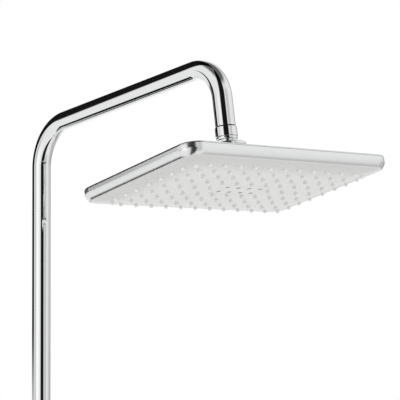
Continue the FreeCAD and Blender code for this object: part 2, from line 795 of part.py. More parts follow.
def build_lid():
    """The back of the head: lid, dome, boss with the socket's bore, and screw bosses."""
    body = new_body("head_back")
    fit = "part_gap"
    edge = rectangle(new_sketch(body, "lid_edge_outline", height="rim_top"), "head_length", "head_width",
                     "head_corner", "face_y")
    brim = grow(body, "Pad", "lid_edge_pad", edge, "rim_top_round + overlap", down=True)
    top = value_of("rim_top")
    round_edges(body, "lid_edge_round", brim, "rim_top_round", lambda line: lies_at(line, top))
    below = rectangle(new_sketch(body, "lid_underside", height="rim_top - lid_edge"), "head_length",
                      "head_width", "head_corner", "face_y")
    grow(body, "Pocket", "lid_underside_cut", below, "rim_top_round + overlap")
    plug = rectangle(new_sketch(body, "lid_plug", height="lid_low"), f"inside_length - 2 * {fit}",
                     f"inside_width - 2 * {fit}", f"inside_corner - {fit}", "face_y")
    grow(body, "Pad", "lid_plug_pad", plug, "lid_thickness + lid_edge / 2")
    foot = rectangle(new_sketch(body, "dome_foot", height="rim_top"), "head_length - 2 * dome_foot_inset",
                     "head_width - 2 * dome_foot_inset", "head_corner - dome_foot_inset / 2", "face_y")
    plateau = rectangle(new_sketch(body, "dome_plateau", height="plateau_top"), "plateau_length",
                        "plateau_width", "plateau_corner", "face_y")
    dome = body.newObject("PartDesign::AdditiveLoft", "dome")
    dome.Profile = foot
    dome.Sections = [plateau]
    boss = circle(new_sketch(body, "boss_outline", height="boss_top"), "boss_radius")
    grow(body, "Pad", "boss_pad", boss, "boss_top - rim_top", down=True)
    inset = "(dome_foot_inset + dome_wall)"
    cavity_size = (f"head_length - 2 * {inset}", f"head_width - 2 * {inset}", f"head_corner - {inset} / 2")
    cavity = rectangle(new_sketch(body, "cavity_outline", height="lid_low"), *cavity_size, "face_y")
    grow(body, "Pocket", "cavity", cavity, "rim_top - dome_foot_wall - lid_low", down=True)
    hollow_foot = rectangle(new_sketch(body, "hollow_foot", height="rim_top - dome_foot_wall - running_gap"),
                            *cavity_size, "face_y")
    hollow_top = rectangle(new_sketch(body, "hollow_top", height="plateau_top - dome_wall"),
                           "plateau_length - 2 * dome_wall", "plateau_width - 2 * dome_wall",
                           "plateau_corner - dome_wall", "face_y")
    hollow = body.newObject("PartDesign::SubtractiveLoft", "dome_hollow")
    hollow.Profile = hollow_foot
    hollow.Sections = [hollow_top]
    for number, (x, y) in enumerate(screw_spots()):
        stub = circle(new_sketch(body, f"stub_{number}", height="tray_floor"), "screw_boss_radius", x, y)
        grow(body, "Pad", f"stub_pad_{number}", stub, "rim_top + stub_rise - tray_floor")
    bore = circle(new_sketch(body, "socket_bore_outline", height="boss_top"), "socket_radius")
    grow(body, "Pocket", "socket_bore", bore, "boss_top - cup_low")
    hole = circle(new_sketch(body, "water_hole_outline", height="cup_low"), "water_hole_radius")
    grow(body, "Pocket", "water_hole", hole, "dome_rise + dome_wall")
    drill = new_sketch(body, "screw_hole_outline", height="tray_floor")
    for x, y in screw_spots():
        circle(drill, "screw_shank_radius", x, y)
    grow(body, "Pocket", "screw_holes", drill, "screw_depth", down=True)
    in_head(body, "head_back")


def build_spray():
    """Spray face, nozzle mat, tray, seal, screws and the centre insert."""
    fit = "part_gap"
    body = new_body("spray_plate_blank")
    flange = rectangle(new_sketch(body, "face_flange_outline", height="ledge_top"),
                       f"inside_length - 2 * {fit}", f"inside_width - 2 * {fit}", f"inside_corner - {fit}",
                       "face_y")
    grow(body, "Pad", "face_flange_pad", flange, "face_flange")
    edge = rectangle(new_sketch(body, "face_outline", height="face_edge"), f"face_length - 2 * {fit}",
                     f"face_width - 2 * {fit}", f"face_corner - {fit}", "face_y")
    slab = grow(body, "Pad", "face_pad", edge, "ledge_top - face_edge")
    low_edge = value_of("face_edge")
    round_edges(body, "face_edge_round", slab, "face_round", lambda line: lies_at(line, low_edge))
    steps = []
    for number in range(PILLOW_STEPS + 1):
        share = f"{number} / {PILLOW_STEPS}"
        inset = f"pillow_reach * {share}"
        drop = f"pillow_depth * (1 - (1 - {share}) ^ 2)"
        steps.append(rectangle(new_sketch(body, f"pillow_{number}", height=f"face_edge - {drop}"),
                               f"pillow_length - 2 * {inset}", f"pillow_width - 2 * {inset}",
                               "pillow_corner", "face_y"))
    swell = body.newObject("PartDesign::AdditiveLoft", "pillow")
    swell.Profile = steps[0]
    swell.Sections = steps[1:]
    window = rectangle(new_sketch(body, "insert_window", height="plate_back"), f"insert_length + 2 * {fit}",
                       f"insert_width + 2 * {fit}", f"insert_corner + {fit}", "face_y")
    grow(body, "Pocket", "insert_window_cut", window, "plate_back - face_edge + 2 * pillow_depth")
    doc.recompute()

    spots = nozzle_spots()
    middle_y = value_of("face_y")
    top = value_of("plate_back")
    low = value_of("face_edge - 2 * pillow_depth")
    hole_radius = value_of("nozzle_base_radius + nozzle_hole_gap")
    past = value_of("overlap")
    holes = [Part.makeCylinder(hole_radius, top - low + past, Vector(x, y + middle_y, low)) for x, y in spots]
    field = loose_solid("nozzle_holes", Part.makeCompound(holes))
    plate = less("spray_plate", body, field)
    in_head(plate, "spray_plate")

    base_radius, tip_radius = value_of("nozzle_base_radius"), value_of("nozzle_tip_radius")
    bore_radius, length = value_of("nozzle_bore_radius"), value_of("nozzle_length")
    root = value_of("mat_thickness / 2")
    nozzles, bores = [], []
    for x, y in spots:
        face = face_height(x, y)
        middle = Vector(x, y + middle_y, 0)
        sleeve = Part.makeCylinder(base_radius, top - face + root, middle + Vector(0, 0, face))
        tip = Part.makeCone(tip_radius, base_radius, length, middle + Vector(0, 0, face - length))
        nozzles.append(sleeve.fuse(tip))
        bores.append(Part.makeCylinder(bore_radius, top - face + length + 2 * past,
                                       middle + Vector(0, 0, face - length - past)))
    mat_length = value_of(f"inside_length - 2 * {fit}")
    mat_width = value_of(f"inside_width - 2 * {fit}")
    sheet_solid = Part.makeBox(mat_length, mat_width, value_of("mat_thickness"),
                               Vector(-mat_length / 2, middle_y - mat_width / 2, top))
    corner = value_of(f"inside_corner - {fit}")
    upright = [line for line in sheet_solid.Edges if line.BoundBox.ZLength > root]
    sheet_solid = sheet_solid.makeFillet(corner, upright)
    window_length, window_width = value_of("insert_length"), value_of("insert_width")
    window_solid = Part.makeBox(window_length, window_width, value_of("mat_thickness"),
                                Vector(-window_length / 2, middle_y - window_width / 2, top))
    mat = sheet_solid.cut(window_solid).multiFuse(nozzles).cut(Part.makeCompound(bores))
    in_head(loose_solid("nozzle_mat", mat), "nozzle_mat")

    tray = new_body("water_tray")
    floor = rectangle(new_sketch(tray, "tray_outline", height="mat_back"), f"inside_length - 2 * {fit}",
                      f"inside_width - 2 * {fit}", f"inside_corner - {fit}", "face_y")
    grow(tray, "Pad", "tray_pad", floor, "tray_top - mat_back")
    basin = rectangle(new_sketch(tray, "tray_basin", height="tray_floor"),
                      f"inside_length - 2 * {fit} - 2 * tray_wall",
                      f"inside_width - 2 * {fit} - 2 * tray_wall", f"inside_corner - {fit} - tray_wall",
                      "face_y")
    grow(tray, "Pocket", "tray_basin_cut", basin, "tray_top - tray_floor", down=True)
    drill = new_sketch(tray, "tray_screw_holes", height="mat_back")
    for x, y in screw_spots():
        circle(drill, "screw_shank_radius", x, y)
    grow(tray, "Pocket", "tray_screw_cut", drill, "tray_thickness", down=True)
    sink = new_sketch(tray, "tray_screw_sinks", height="mat_back")
    for x, y in screw_spots():
        circle(sink, "screw_head_radius + running_gap", x, y)
    grow(tray, "Pocket", "tray_sink_cut", sink, "screw_head_height", down=True)
    slot = new_sketch(tray, "tray_slots", height="mat_back")
    for side in ("+", "-"):
        for step in range(SIZES["rows_each_side"] - 1):
            middle = f"face_y {side} (first_row + {step} * row_pitch)"
            rectangle(slot, "face_length - 2 * tray_slot_margin", "tray_slot_width",
                      "tray_slot_width / 2 - running_gap", middle)
    grow(tray, "Pocket", "tray_slot_cut", slot, "tray_thickness", down=True)
    in_head(tray, "water_tray")

    seal = new_body("chamber_seal")
    outline = new_sketch(seal, "seal_outline", height="tray_top")
    rectangle(outline, f"inside_length - 2 * {fit}", f"inside_width - 2 * {fit}", f"inside_corner - {fit}",
              "face_y")
    rectangle(outline, f"inside_length - 2 * {fit} - 2 * tray_wall",
              f"inside_width - 2 * {fit} - 2 * tray_wall", f"inside_corner - {fit} - tray_wall", "face_y")
    grow(seal, "Pad", "seal_pad", outline, "chamber_seal_height")
    in_head(seal, "chamber_seal")

    screws = []
    for number, (x, y) in enumerate(screw_spots()):
        head = rod(f"chamber_screw_head_{number}", "screw_head_radius", "screw_head_height", x, y, "mat_back")
        shank = rod(f"chamber_screw_shank_{number}", "screw_shank_radius",
                    "tray_thickness + screw_depth - part_gap", x, y, "mat_back")
        screws.append(joined(f"chamber_screw_{number}", head, shank))
    in_head(grouped("chamber_screws", *screws), "chamber_screws")

    insert = new_body("air_insert")
    plan = rectangle(new_sketch(insert, "insert_outline", height="face_edge - pillow_depth"), "insert_length",
                     "insert_width", "insert_corner", "face_y")
    grow(insert, "Pad", "insert_pad", plan, "mat_back - face_edge + pillow_depth")
    inlets = new_sketch(insert, "insert_holes", height="face_edge - pillow_depth")
    middle_column = (SIZES["insert_columns"] - 1) / 2
    for column in range(SIZES["insert_columns"]):
        for side in ("+", "-"):
            circle(inlets, "insert_hole_radius", f"({column} - {middle_column}) * insert_column",
                   f"face_y {side} insert_row / 2")
    grow(insert, "Pocket", "insert_hole_cut", inlets, "insert_thickness", down=True)
    in_head(insert, "air_insert")


# ------------------------------------------------------------------------------- mixer
def at_mixer(piece, label):
    """Place a piece in the frame of the mixer's axis and keep it."""
    keep(place(piece, y="riser_y", z="mixer_z"), label)


def at_end(piece, label, side):
    """Place a piece on the mixer's axis, at its right-hand or its left-hand end."""
    angle = "0" if side == "right" else "180"
    keep(place(piece, "0", "riser_y", "mixer_z", Vector(0, 0, 1), angle), label)


def along_x(label, corners):
    """Return a body of revolution about X; corners are (station, radius)."""
    return turned(label, corners, "XZ_Plane", "H_Axis")


def build_mixer_body():
    """The brass body with its bores, inlet necks, riser port and outlet port."""
    barrel = along_x("mixer_barrel", [
        ("-mixer_half_length + mixer_chamfer", "mixer_radius"),
        ("-mixer_half_length", "mixer_radius - mixer_chamfer"),
        ("-mixer_half_length", "nut_seat_radius"),
        ("-nut_face", "nut_seat_radius"),
        ("-nut_face", "mixer_bore"),
        ("-mixer_half_length + cartridge_depth", "mixer_bore"),
        ("-mixer_half_length + cartridge_depth", "mixer_waist_bore"),
        ("mixer_half_length - cartridge_depth", "mixer_waist_bore"),
        ("mixer_half_length - cartridge_depth", "mixer_bore"),
        ("nut_face", "mixer_bore"),
        ("nut_face", "nut_seat_radius"),
        ("mixer_half_length", "nut_seat_radius"),
        ("mixer_half_length", "mixer_radius - mixer_chamfer"),
        ("mixer_half_length - mixer_chamfer", "mixer_radius"),
    ])
    solids = [barrel]
    bores = []
    wall_depth = "(mixer_bore + overlap)"
    neck_end = "riser_standoff + washer_face"
    for side, x in (("hot", "-half_spacing"), ("cold", "half_spacing")):
        solids.append(rod(f"{side}_neck", "inlet_neck_radius", f"{neck_end} - {wall_depth}", x, wall_depth,
                          along="Y"))
        solids.append(rod(f"{side}_neck_flange", "inlet_flange_radius", "inlet_flange_width", x,
                          f"{neck_end} - inlet_flange_width", along="Y"))
        bores.append(rod(f"{side}_inlet_bore", "inlet_bore", "inlet_bore_depth", x,
                         f"{neck_end} - inlet_bore_depth", along="Y"))
        bores.append(rod(f"{side}_inlet_way", "inlet_bore / 2", neck_end, x, along="Y"))
    solids.append(rod("riser_port", "port_radius", f"port_top - {wall_depth}", z=wall_depth))
    bores.append(rod("riser_port_bore", "port_bore", "spigot_thread_depth",
                     z="port_top - spigot_thread_depth"))
    bores.append(rod("riser_port_way", "spigot_bore", "port_top"))
    outlet_low = "mixer_radius + outlet_port_drop"
    solids.append(rod("outlet_port", "outlet_port_radius", f"{outlet_low} - {wall_depth}",
                      z=f"-({outlet_low})"))
    bores.append(rod("outlet_port_bore", "port_bore", "spigot_thread_depth", z=f"-({outlet_low})"))
    bores.append(rod("outlet_port_way", "outlet_bore", outlet_low, along="-Z"))
    filled = joined("mixer_solid", *solids)
    # the ports may not reach into the cartridge bores
    starts = {"left": "-mixer_half_length", "right": "mixer_half_length - cartridge_depth"}
    ends = [rod(f"cartridge_bore_{side}", "mixer_bore", "cartridge_depth", x=start, along="X")
            for side, start in starts.items()]
    at_mixer(less("mixer_body", filled, *bores, *ends), "mixer_body")


def build_cartridges():
    """Cartridges, their nuts, stop rings, spindles, handles, screws and caps at both ends."""
    for side, name, handle in (("right", "thermostat", "temperature"), ("left", "flow", "flow")):
        inner = "mixer_half_length - cartridge_depth"
        at_end(along_x(f"{name}_cartridge", [
            (inner, "spindle_radius"),
            (inner, "mixer_bore - running_gap"),
            ("nut_face", "mixer_bore - running_gap"),
            ("nut_face", "cartridge_neck_radius"),
            ("mixer_half_length + cartridge_neck_reach", "cartridge_neck_radius"),
            ("mixer_half_length + cartridge_neck_reach", "spindle_radius + running_gap"),
            ("spindle_start - part_gap", "spindle_radius + running_gap"),
            ("spindle_start - part_gap", "spindle_radius"),
        ]), f"{name}_cartridge", side)
        at_end(along_x(f"{name}_cartridge_nut", [
            ("nut_face", "cartridge_nut_bore"),
            ("nut_face", "nut_seat_radius"),
            ("mixer_half_length", "nut_seat_radius"),
            ("mixer_half_length", "cartridge_nut_bore"),
        ]), f"{name}_cartridge_nut", side)
        at_end(along_x(f"{handle}_stop_ring", [
            ("mixer_half_length", "cartridge_nut_bore"),
            ("mixer_half_length", "stop_ring_radius"),
            ("mixer_half_length + stop_ring_width", "stop_ring_radius"),
            ("mixer_half_length + stop_ring_width", "cartridge_nut_bore"),
        ]), f"{handle}_stop_ring", side)
        at_end(along_x(f"{name}_spindle", [
            ("spindle_start", "0"),
            ("spindle_start", "spindle_radius"),
            ("spindle_end", "spindle_radius"),
            ("spindle_end", "handle_screw_shank"),
            ("screw_end", "handle_screw_shank"),
            ("screw_end", "0"),
        ]), f"{name}_spindle", side)
        build_handle(handle, side)
        at_end(along_x(f"{handle}_handle_screw", [
            ("screw_end", "0"),
            ("screw_end", "handle_screw_shank"),
            ("cap_floor", "handle_screw_shank"),
            ("cap_floor", "handle_screw_head"),
            ("cap_floor + cap_seat_depth - cap_thickness - part_gap", "handle_screw_head"),
            ("cap_floor + cap_seat_depth - cap_thickness - part_gap", "0"),
        ]), f"{handle}_handle_screw", side)
        at_end(along_x(f"{handle}_handle_cap", [
            ("handle_end - cap_thickness", "0"),
            ("handle_end - cap_thickness", "cap_seat_radius"),
            ("handle_end - part_gap", "cap_seat_radius"),
            ("handle_end", "cap_seat_radius - part_gap"),
            ("handle_end", "0"),
        ]), f"{handle}_handle_cap", side)


def build_handle(handle, side):
    """A round grip, hollow towards the mixer, with flutes round its outer half."""
    body = along_x(f"{handle}_handle_blank", [
        ("handle_start", "handle_inner"),
        ("handle_start", "mixer_radius"),
        ("handle_end - handle_round", "mixer_radius"),
        ("handle_end", "mixer_radius - handle_round", "handle_end - handle_round",
         "mixer_radius - handle_round", False),
        ("handle_end", "cap_seat_radius"),
        ("handle_end - cap_thickness", "cap_seat_radius"),
        ("handle_end - cap_thickness", "handle_screw_head + part_gap"),
        ("cap_floor", "handle_screw_head + part_gap"),
        ("cap_floor", "handle_screw_shank"),
        ("spindle_end", "handle_screw_shank"),
        ("spindle_end", "spindle_radius"),
        ("hub_start", "spindle_radius"),
        ("hub_start", "hub_radius"),
        ("handle_web", "hub_radius"),
        ("handle_web", "handle_inner"),
    ])
    flutes = []
    for number in range(SIZES["flute_count"]):
        turn = f"360 / flute_count * {number + 0.5}"
        reach = "(mixer_radius + flute_radius - flute_depth)"
        flutes.append(rod(f"{handle}_flute_{number}", "flute_radius", "handle_length - 2 * flute_margin",
                          "handle_start + flute_margin",
                          f"{reach} * cos({turn})", f"{reach} * sin({turn})", along="X"))
    tools = flutes
    if handle == "temperature":
        hole = rod("button_hole", "button_radius + button_gap", "mixer_radius",
                   x="handle_start + button_station", z="handle_inner / 2", along="Z")
        tools = flutes + [hole]
    at_end(less(f"{handle}_handle", body, *tools), f"{handle}_handle", side)


def spring_coil(radius, wire_radius, rise):
    """Return a coil spring about Z; its wire's centre line starts at Z = 0."""
    steps = round(value_of("spring_turns * spring_points"))
    points = []
    for step in range(steps + 1):
        turn = 2 * math.pi * step / SIZES["spring_points"]
        points.append(Vector(radius * math.cos(turn), radius * math.sin(turn), rise * step / steps))
    line = Part.BSplineCurve()
    line.interpolate(points)
    edge = line.toShape()
    section = Part.Circle(points[0], edge.tangentAt(edge.FirstParameter), wire_radius)
    return Part.Wire([edge]).makePipeShell([Part.Wire(section.toShape())], True, False)


def build_button():
    """The safety button: a plunger through the handle's wall, on a coil spring."""
    station = "handle_start + button_station"
    top = "mixer_radius + button_proud"
    plunger = turned("safety_button", [
        ("0", "collar_low"),
        ("button_collar_radius", "collar_low"),
        ("button_collar_radius", "collar_top"),
        ("button_radius", "collar_top"),
        ("button_radius", f"{top} - part_gap"),
        ("button_radius - part_gap", top),
        ("0", top),
    ])
    keep(place(plunger, station, "riser_y", "mixer_z"), "safety_button")

    rise = value_of("collar_low - hub_radius - 2 * spring_wire_radius - running_gap")
    coil = spring_coil(value_of("spring_radius"), value_of("spring_wire_radius"), rise)
    lift = "mixer_z + hub_radius + spring_wire_radius + running_gap / 2"
    keep(place(loose_solid("button_spring", coil), station, "riser_y", lift), "button_spring")


# ------------------------------------------------------------------------------- connections
def build_connections():
    """Riser spigot, O-rings, union nut and hose outlet."""
    thread_low = "port_top - spigot_thread_depth"
    top = "spigot_seat + spigot_length"
    spigot_radius = "pipe_bore - running_gap"
    corners = [
        ("spigot_bore", thread_low),
        ("port_bore", thread_low),
        ("port_bore", "port_top"),
        ("spigot_flange_radius", "port_top"),
        ("spigot_flange_radius", "spigot_seat"),
        (spigot_radius, "spigot_seat"),
    ]
    rings = []
    for number in (0, 1):
        low = f"spigot_seat + o_ring_first + {number} * o_ring_pitch"
        high = f"{low} + o_ring_groove_width"
        corners += [(spigot_radius, low), ("o_ring_inner", low), ("o_ring_inner", high),
                    (spigot_radius, high)]
        rings.append(torus(f"spigot_o_ring_{number}", "o_ring_inner + o_ring_section", "o_ring_section",
                           f"{low} + o_ring_groove_width / 2"))
    corners += [(spigot_radius, top), ("spigot_bore", top)]
    at_mixer(turned("riser_spigot", corners), "riser_spigot")
    at_mixer(grouped("spigot_o_rings", *rings), "spigot_o_rings")

    nut_low = "port_top - union_nut_skirt"
    nut_high = "union_lip_low + union_nut_lip"
    at_mixer(turned("riser_union_nut", [
        ("port_radius", nut_low),
        ("union_nut_radius", nut_low),
        ("union_nut_radius", f"{nut_high} - mixer_chamfer"),
        ("union_nut_radius - mixer_chamfer", nut_high),
        ("pipe_radius + running_gap", nut_high),
        ("pipe_radius + running_gap", "union_lip_low"),
        ("port_radius", "union_lip_low"),
    ]), "riser_union_nut")

    port_low = "-mixer_radius - outlet_port_drop"
    collar_low = f"{port_low} - outlet_collar_height"
    at_mixer(turned("hose_outlet", [
        ("outlet_bore", f"{port_low} + spigot_thread_depth"),
        ("outlet_bore", f"{collar_low} - outlet_thread_length"),
        ("outlet_thread_radius", f"{collar_low} - outlet_thread_length"),
        ("outlet_thread_radius", collar_low),
        ("outlet_collar_radius", collar_low),
        ("outlet_collar_radius", port_low),
        ("port_bore", port_low),
        ("port_bore", f"{port_low} + spigot_thread_depth"),
    ]), "hose_outlet")


def along_y(label, corners):
    """Return a body of revolution about Y; corners are (Y, radius)."""
    return turned(label, corners, "YZ_Plane", "H_Axis")


def build_inlets():
    """At each wall inlet: eccentric union, rose, washer, union nut and check valve."""
    for side, x in (("hot", "-half_spacing"), ("cold", "half_spacing")):
        def at_inlet(piece, label):
            keep(place(piece, x, "0", "mixer_z"), label)

        thread = rod(f"{side}_wall_thread", "wall_thread_radius", "wall_thread_length + eccentric_back",
                     y="-eccentric_back", z="-union_offset", along="Y")
        middle = rod(f"{side}_eccentric", "eccentric_radius", "eccentric_front - eccentric_back",
                     y="-eccentric_front", z="-union_offset / 2", along="Y")
        front = rod(f"{side}_union_thread", "union_thread_radius", "union_face - eccentric_front",
                    y="-union_face", along="Y")
        back_way = rod(f"{side}_back_way", "union_bore", "wall_thread_length + eccentric_front",
                       y="-eccentric_middle", z="-union_offset", along="Y")
        front_way = rod(f"{side}_front_way", "union_bore",
                        "union_face - eccentric_middle + overlap / 2", y="-union_face", along="Y")
        solid = joined(f"{side}_union_solid", thread, middle, front)
        at_inlet(less(f"{side}_eccentric_union", solid, back_way, front_way), f"{side}_eccentric_union")

        at_inlet(along_y(f"{side}_inlet_washer", [
            ("washer_face", "inlet_washer_bore"),
            ("-union_face", "inlet_washer_bore"),
            ("-union_face", "inlet_flange_radius"),
            ("washer_face", "inlet_flange_radius"),
        ]), f"{side}_inlet_washer")

        nut_back = "inlet_lip + inlet_flange_width + inlet_nut_skirt"
        nut_front = "inlet_lip - inlet_nut_lip"
        thread_fit = "union_thread_radius + running_gap"
        at_inlet(along_y(f"{side}_union_nut", [
            (nut_front, "inlet_neck_radius + running_gap"),
            ("inlet_lip", "inlet_neck_radius + running_gap"),
            ("inlet_lip", thread_fit),
            (nut_back, thread_fit),
            (nut_back, "inlet_nut_radius"),
            (f"{nut_front} + mixer_chamfer", "inlet_nut_radius"),
            (nut_front, "inlet_nut_radius - mixer_chamfer"),
        ]), f"{side}_union_nut")

        valve_back = "washer_face - part_gap"
        at_inlet(along_y(f"{side}_check_valve", [
            (f"{valve_back} - valve_length", "valve_bore"),
            (valve_back, "valve_bore"),
            (valve_back, "inlet_bore"),
            (f"{valve_back} - valve_length", "inlet_bore"),
        ]), f"{side}_check_valve")

        collar = "inlet_nut_radius + part_gap"
        collar_front = "-(rose_depth + rose_collar)"
        at_inlet(along_y(f"{side}_rose", [
            ("0", "rose_radius - rose_wall"),
            ("0", "rose_radius"),
            ("-rose_edge", "rose_radius"),
            ("-rose_depth", "rose_shoulder_radius"),
            ("-rose_depth", f"{collar} + rose_wall"),
            (collar_front, f"{collar} + rose_wall"),
            (collar_front, collar),
            ("-rose_depth + rose_wall", collar),
            ("-rose_depth + rose_wall", "rose_shoulder_radius - rose_wall / 2"),
            ("-rose_edge + rose_wall / 2", "rose_radius - rose_wall"),
        ]), f"{side}_rose")


def build_bracket():
    """Wall flange, arm with its clamp round the riser, bushing and grub screw."""
    def at_bracket(piece, label):
        keep(place(piece, z="bracket_height"), label)

    disc = along_y("flange_disc", [
        ("0", "0"),
        ("0", "flange_radius"),
        ("-flange_thickness + flange_chamfer", "flange_radius"),
        ("-flange_thickness", "flange_radius - flange_chamfer"),
        ("-flange_thickness", "flange_spigot_radius"),
        ("-flange_thickness - flange_spigot_length", "flange_spigot_radius"),
        ("-flange_thickness - flange_spigot_length", "0"),
    ])
    holes = [rod(f"flange_hole_{name}", "bracket_hole_radius", "flange_thickness", z=z, along="-Y")
             for name, z in (("low", "-bracket_hole_spacing / 2"), ("high", "bracket_hole_spacing / 2"))]
    at_bracket(less("bracket_flange", disc, *holes), "bracket_flange")

    arm = rod("bracket_bar", "bracket_arm_radius", "riser_standoff - flange_thickness",
              y="-flange_thickness", along="-Y")
    clamp = rod("bracket_clamp", "clamp_radius", "clamp_height", y="riser_y", z="-clamp_height / 2")
    riser_way = rod("bracket_riser_way", "clamp_bore", "clamp_height", y="riser_y", z="-clamp_height / 2")
    socket = rod("bracket_socket", "flange_spigot_radius", "flange_spigot_length + part_gap",
                 y="-flange_thickness", along="-Y")
    grub_y = "-flange_thickness - grub_station"
    tapped = rod("bracket_grub_hole", "grub_radius", "bracket_arm_radius", y=grub_y, along="-Z")
    solid = joined("bracket_solid", arm, clamp)
    at_bracket(less("bracket_arm", solid, riser_way, socket, tapped), "bracket_arm")

    grub = rod("bracket_grub_screw_solid", "grub_radius",
               "bracket_arm_radius - flange_spigot_radius - part_gap", y=grub_y, z="-flange_spigot_radius", along="-Z")
    at_bracket(grouped("bracket_grub_screw", grub), "bracket_grub_screw")

    liner = ring("riser_bushing", "pipe_radius + running_gap", "clamp_bore", "-clamp_height / 2",
                 "clamp_height / 2")
    keep(place(liner, y="riser_y", z="bracket_height"), "riser_bushing")


# ------------------------------------------------------------------------------- build and write
def check_model():
    """Stop if any object failed or any kept shape is not a sound solid."""
    failed = [item.Name for item in doc.Objects if "Invalid" in item.State or "Error" in item.State]
    if failed:
        raise RuntimeError(f"objects failed: {failed}")
    for piece in pieces:
        shape = piece.Shape
        if shape.isNull() or not shape.isValid() or not shape.Solids:
            raise RuntimeError(f"unsound shape: {piece.Label}")


def main():
    """Build every sub-part, check them and write one file for each."""
    build_pipe()
    build_ball_joint()
    build_socket()
    build_rim()
    build_lid()
    build_spray()
    build_mixer_body()
    build_cartridges()
    build_button()
    build_connections()
    build_inlets()
    build_bracket()
    doc.recompute()
    check_model()
    os.makedirs("parts", exist_ok=True)
    for piece in pieces:
        piece.Shape.exportStep(os.path.join("parts", piece.Label + ".step"))
        print(f"{piece.Label}: {len(piece.Shape.Solids)} solid(s), {piece.Shape.Volume / 1000:.2f} cm3")


main()
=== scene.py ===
import json
import logging
import math
from dataclasses import dataclass, field
from enum import Enum
from typing import Iterable, Sequence

import bmesh
import bpy
from mathutils import Matrix, Vector


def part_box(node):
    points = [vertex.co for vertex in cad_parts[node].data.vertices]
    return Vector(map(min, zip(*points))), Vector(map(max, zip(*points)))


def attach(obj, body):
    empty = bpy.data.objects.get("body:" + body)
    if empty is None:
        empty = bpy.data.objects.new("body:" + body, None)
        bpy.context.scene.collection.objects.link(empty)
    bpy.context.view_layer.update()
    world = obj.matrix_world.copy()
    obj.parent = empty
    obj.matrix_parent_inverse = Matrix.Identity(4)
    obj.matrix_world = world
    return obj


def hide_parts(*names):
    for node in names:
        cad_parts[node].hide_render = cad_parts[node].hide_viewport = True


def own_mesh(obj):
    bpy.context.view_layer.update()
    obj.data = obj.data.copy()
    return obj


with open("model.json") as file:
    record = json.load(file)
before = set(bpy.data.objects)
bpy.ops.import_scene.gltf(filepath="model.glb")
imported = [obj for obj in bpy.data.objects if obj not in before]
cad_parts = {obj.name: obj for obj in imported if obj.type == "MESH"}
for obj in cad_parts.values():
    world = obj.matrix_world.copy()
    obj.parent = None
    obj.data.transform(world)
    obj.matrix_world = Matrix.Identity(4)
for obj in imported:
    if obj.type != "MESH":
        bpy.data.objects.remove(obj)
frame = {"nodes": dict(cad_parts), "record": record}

# Looks for a wall-mounted shower column: a bent riser with a rectangular overhead shower over a bar mixer.
# Everything is in metres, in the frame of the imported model: X along the wall, +Y into it, +Z up.

log = logging.getLogger("shower_column")
MM = 0.001
SHARP_ANGLE = 35.0  # Faces that meet at more degrees keep a crisp edge.
INLET_STATION = 75 * MM  # From the middle to either wall inlet.
DEGREES = 180 / math.pi  # In one radian.
NOISE_SPAN = (0.3, 0.7)  # Where nearly all of the noise lies.
COLOUR_OCTAVES = 3.0
GRAIN_OCTAVES = 2.0
Colour = tuple[float, float, float]
Outline = list[tuple[float, float]]
Section = tuple[float, float, float]


class Body(Enum):
    """The rigid bodies that pieces ride on."""

    WALL = "wall_frame"
    RISER = "riser"
    HEAD = "head"
    TEMPERATURE = "temperature_control"
    FLOW = "flow_control"


class Slot(Enum):
    """The record's material slots."""

    CHROMED_BRASS = "chromed_brass"
    CHROMED_PLASTIC = "chromed_plastic"
    SPRAY_FACE = "spray_face"
    SILICONE = "nozzle_silicone"
    RUBBER = "black_rubber"
    ACETAL = "pale_acetal"
    BRASS = "bare_brass"
    DARK_PLASTIC = "dark_plastic"
    STEEL = "stainless_steel"
    BUTTON = "button_red"


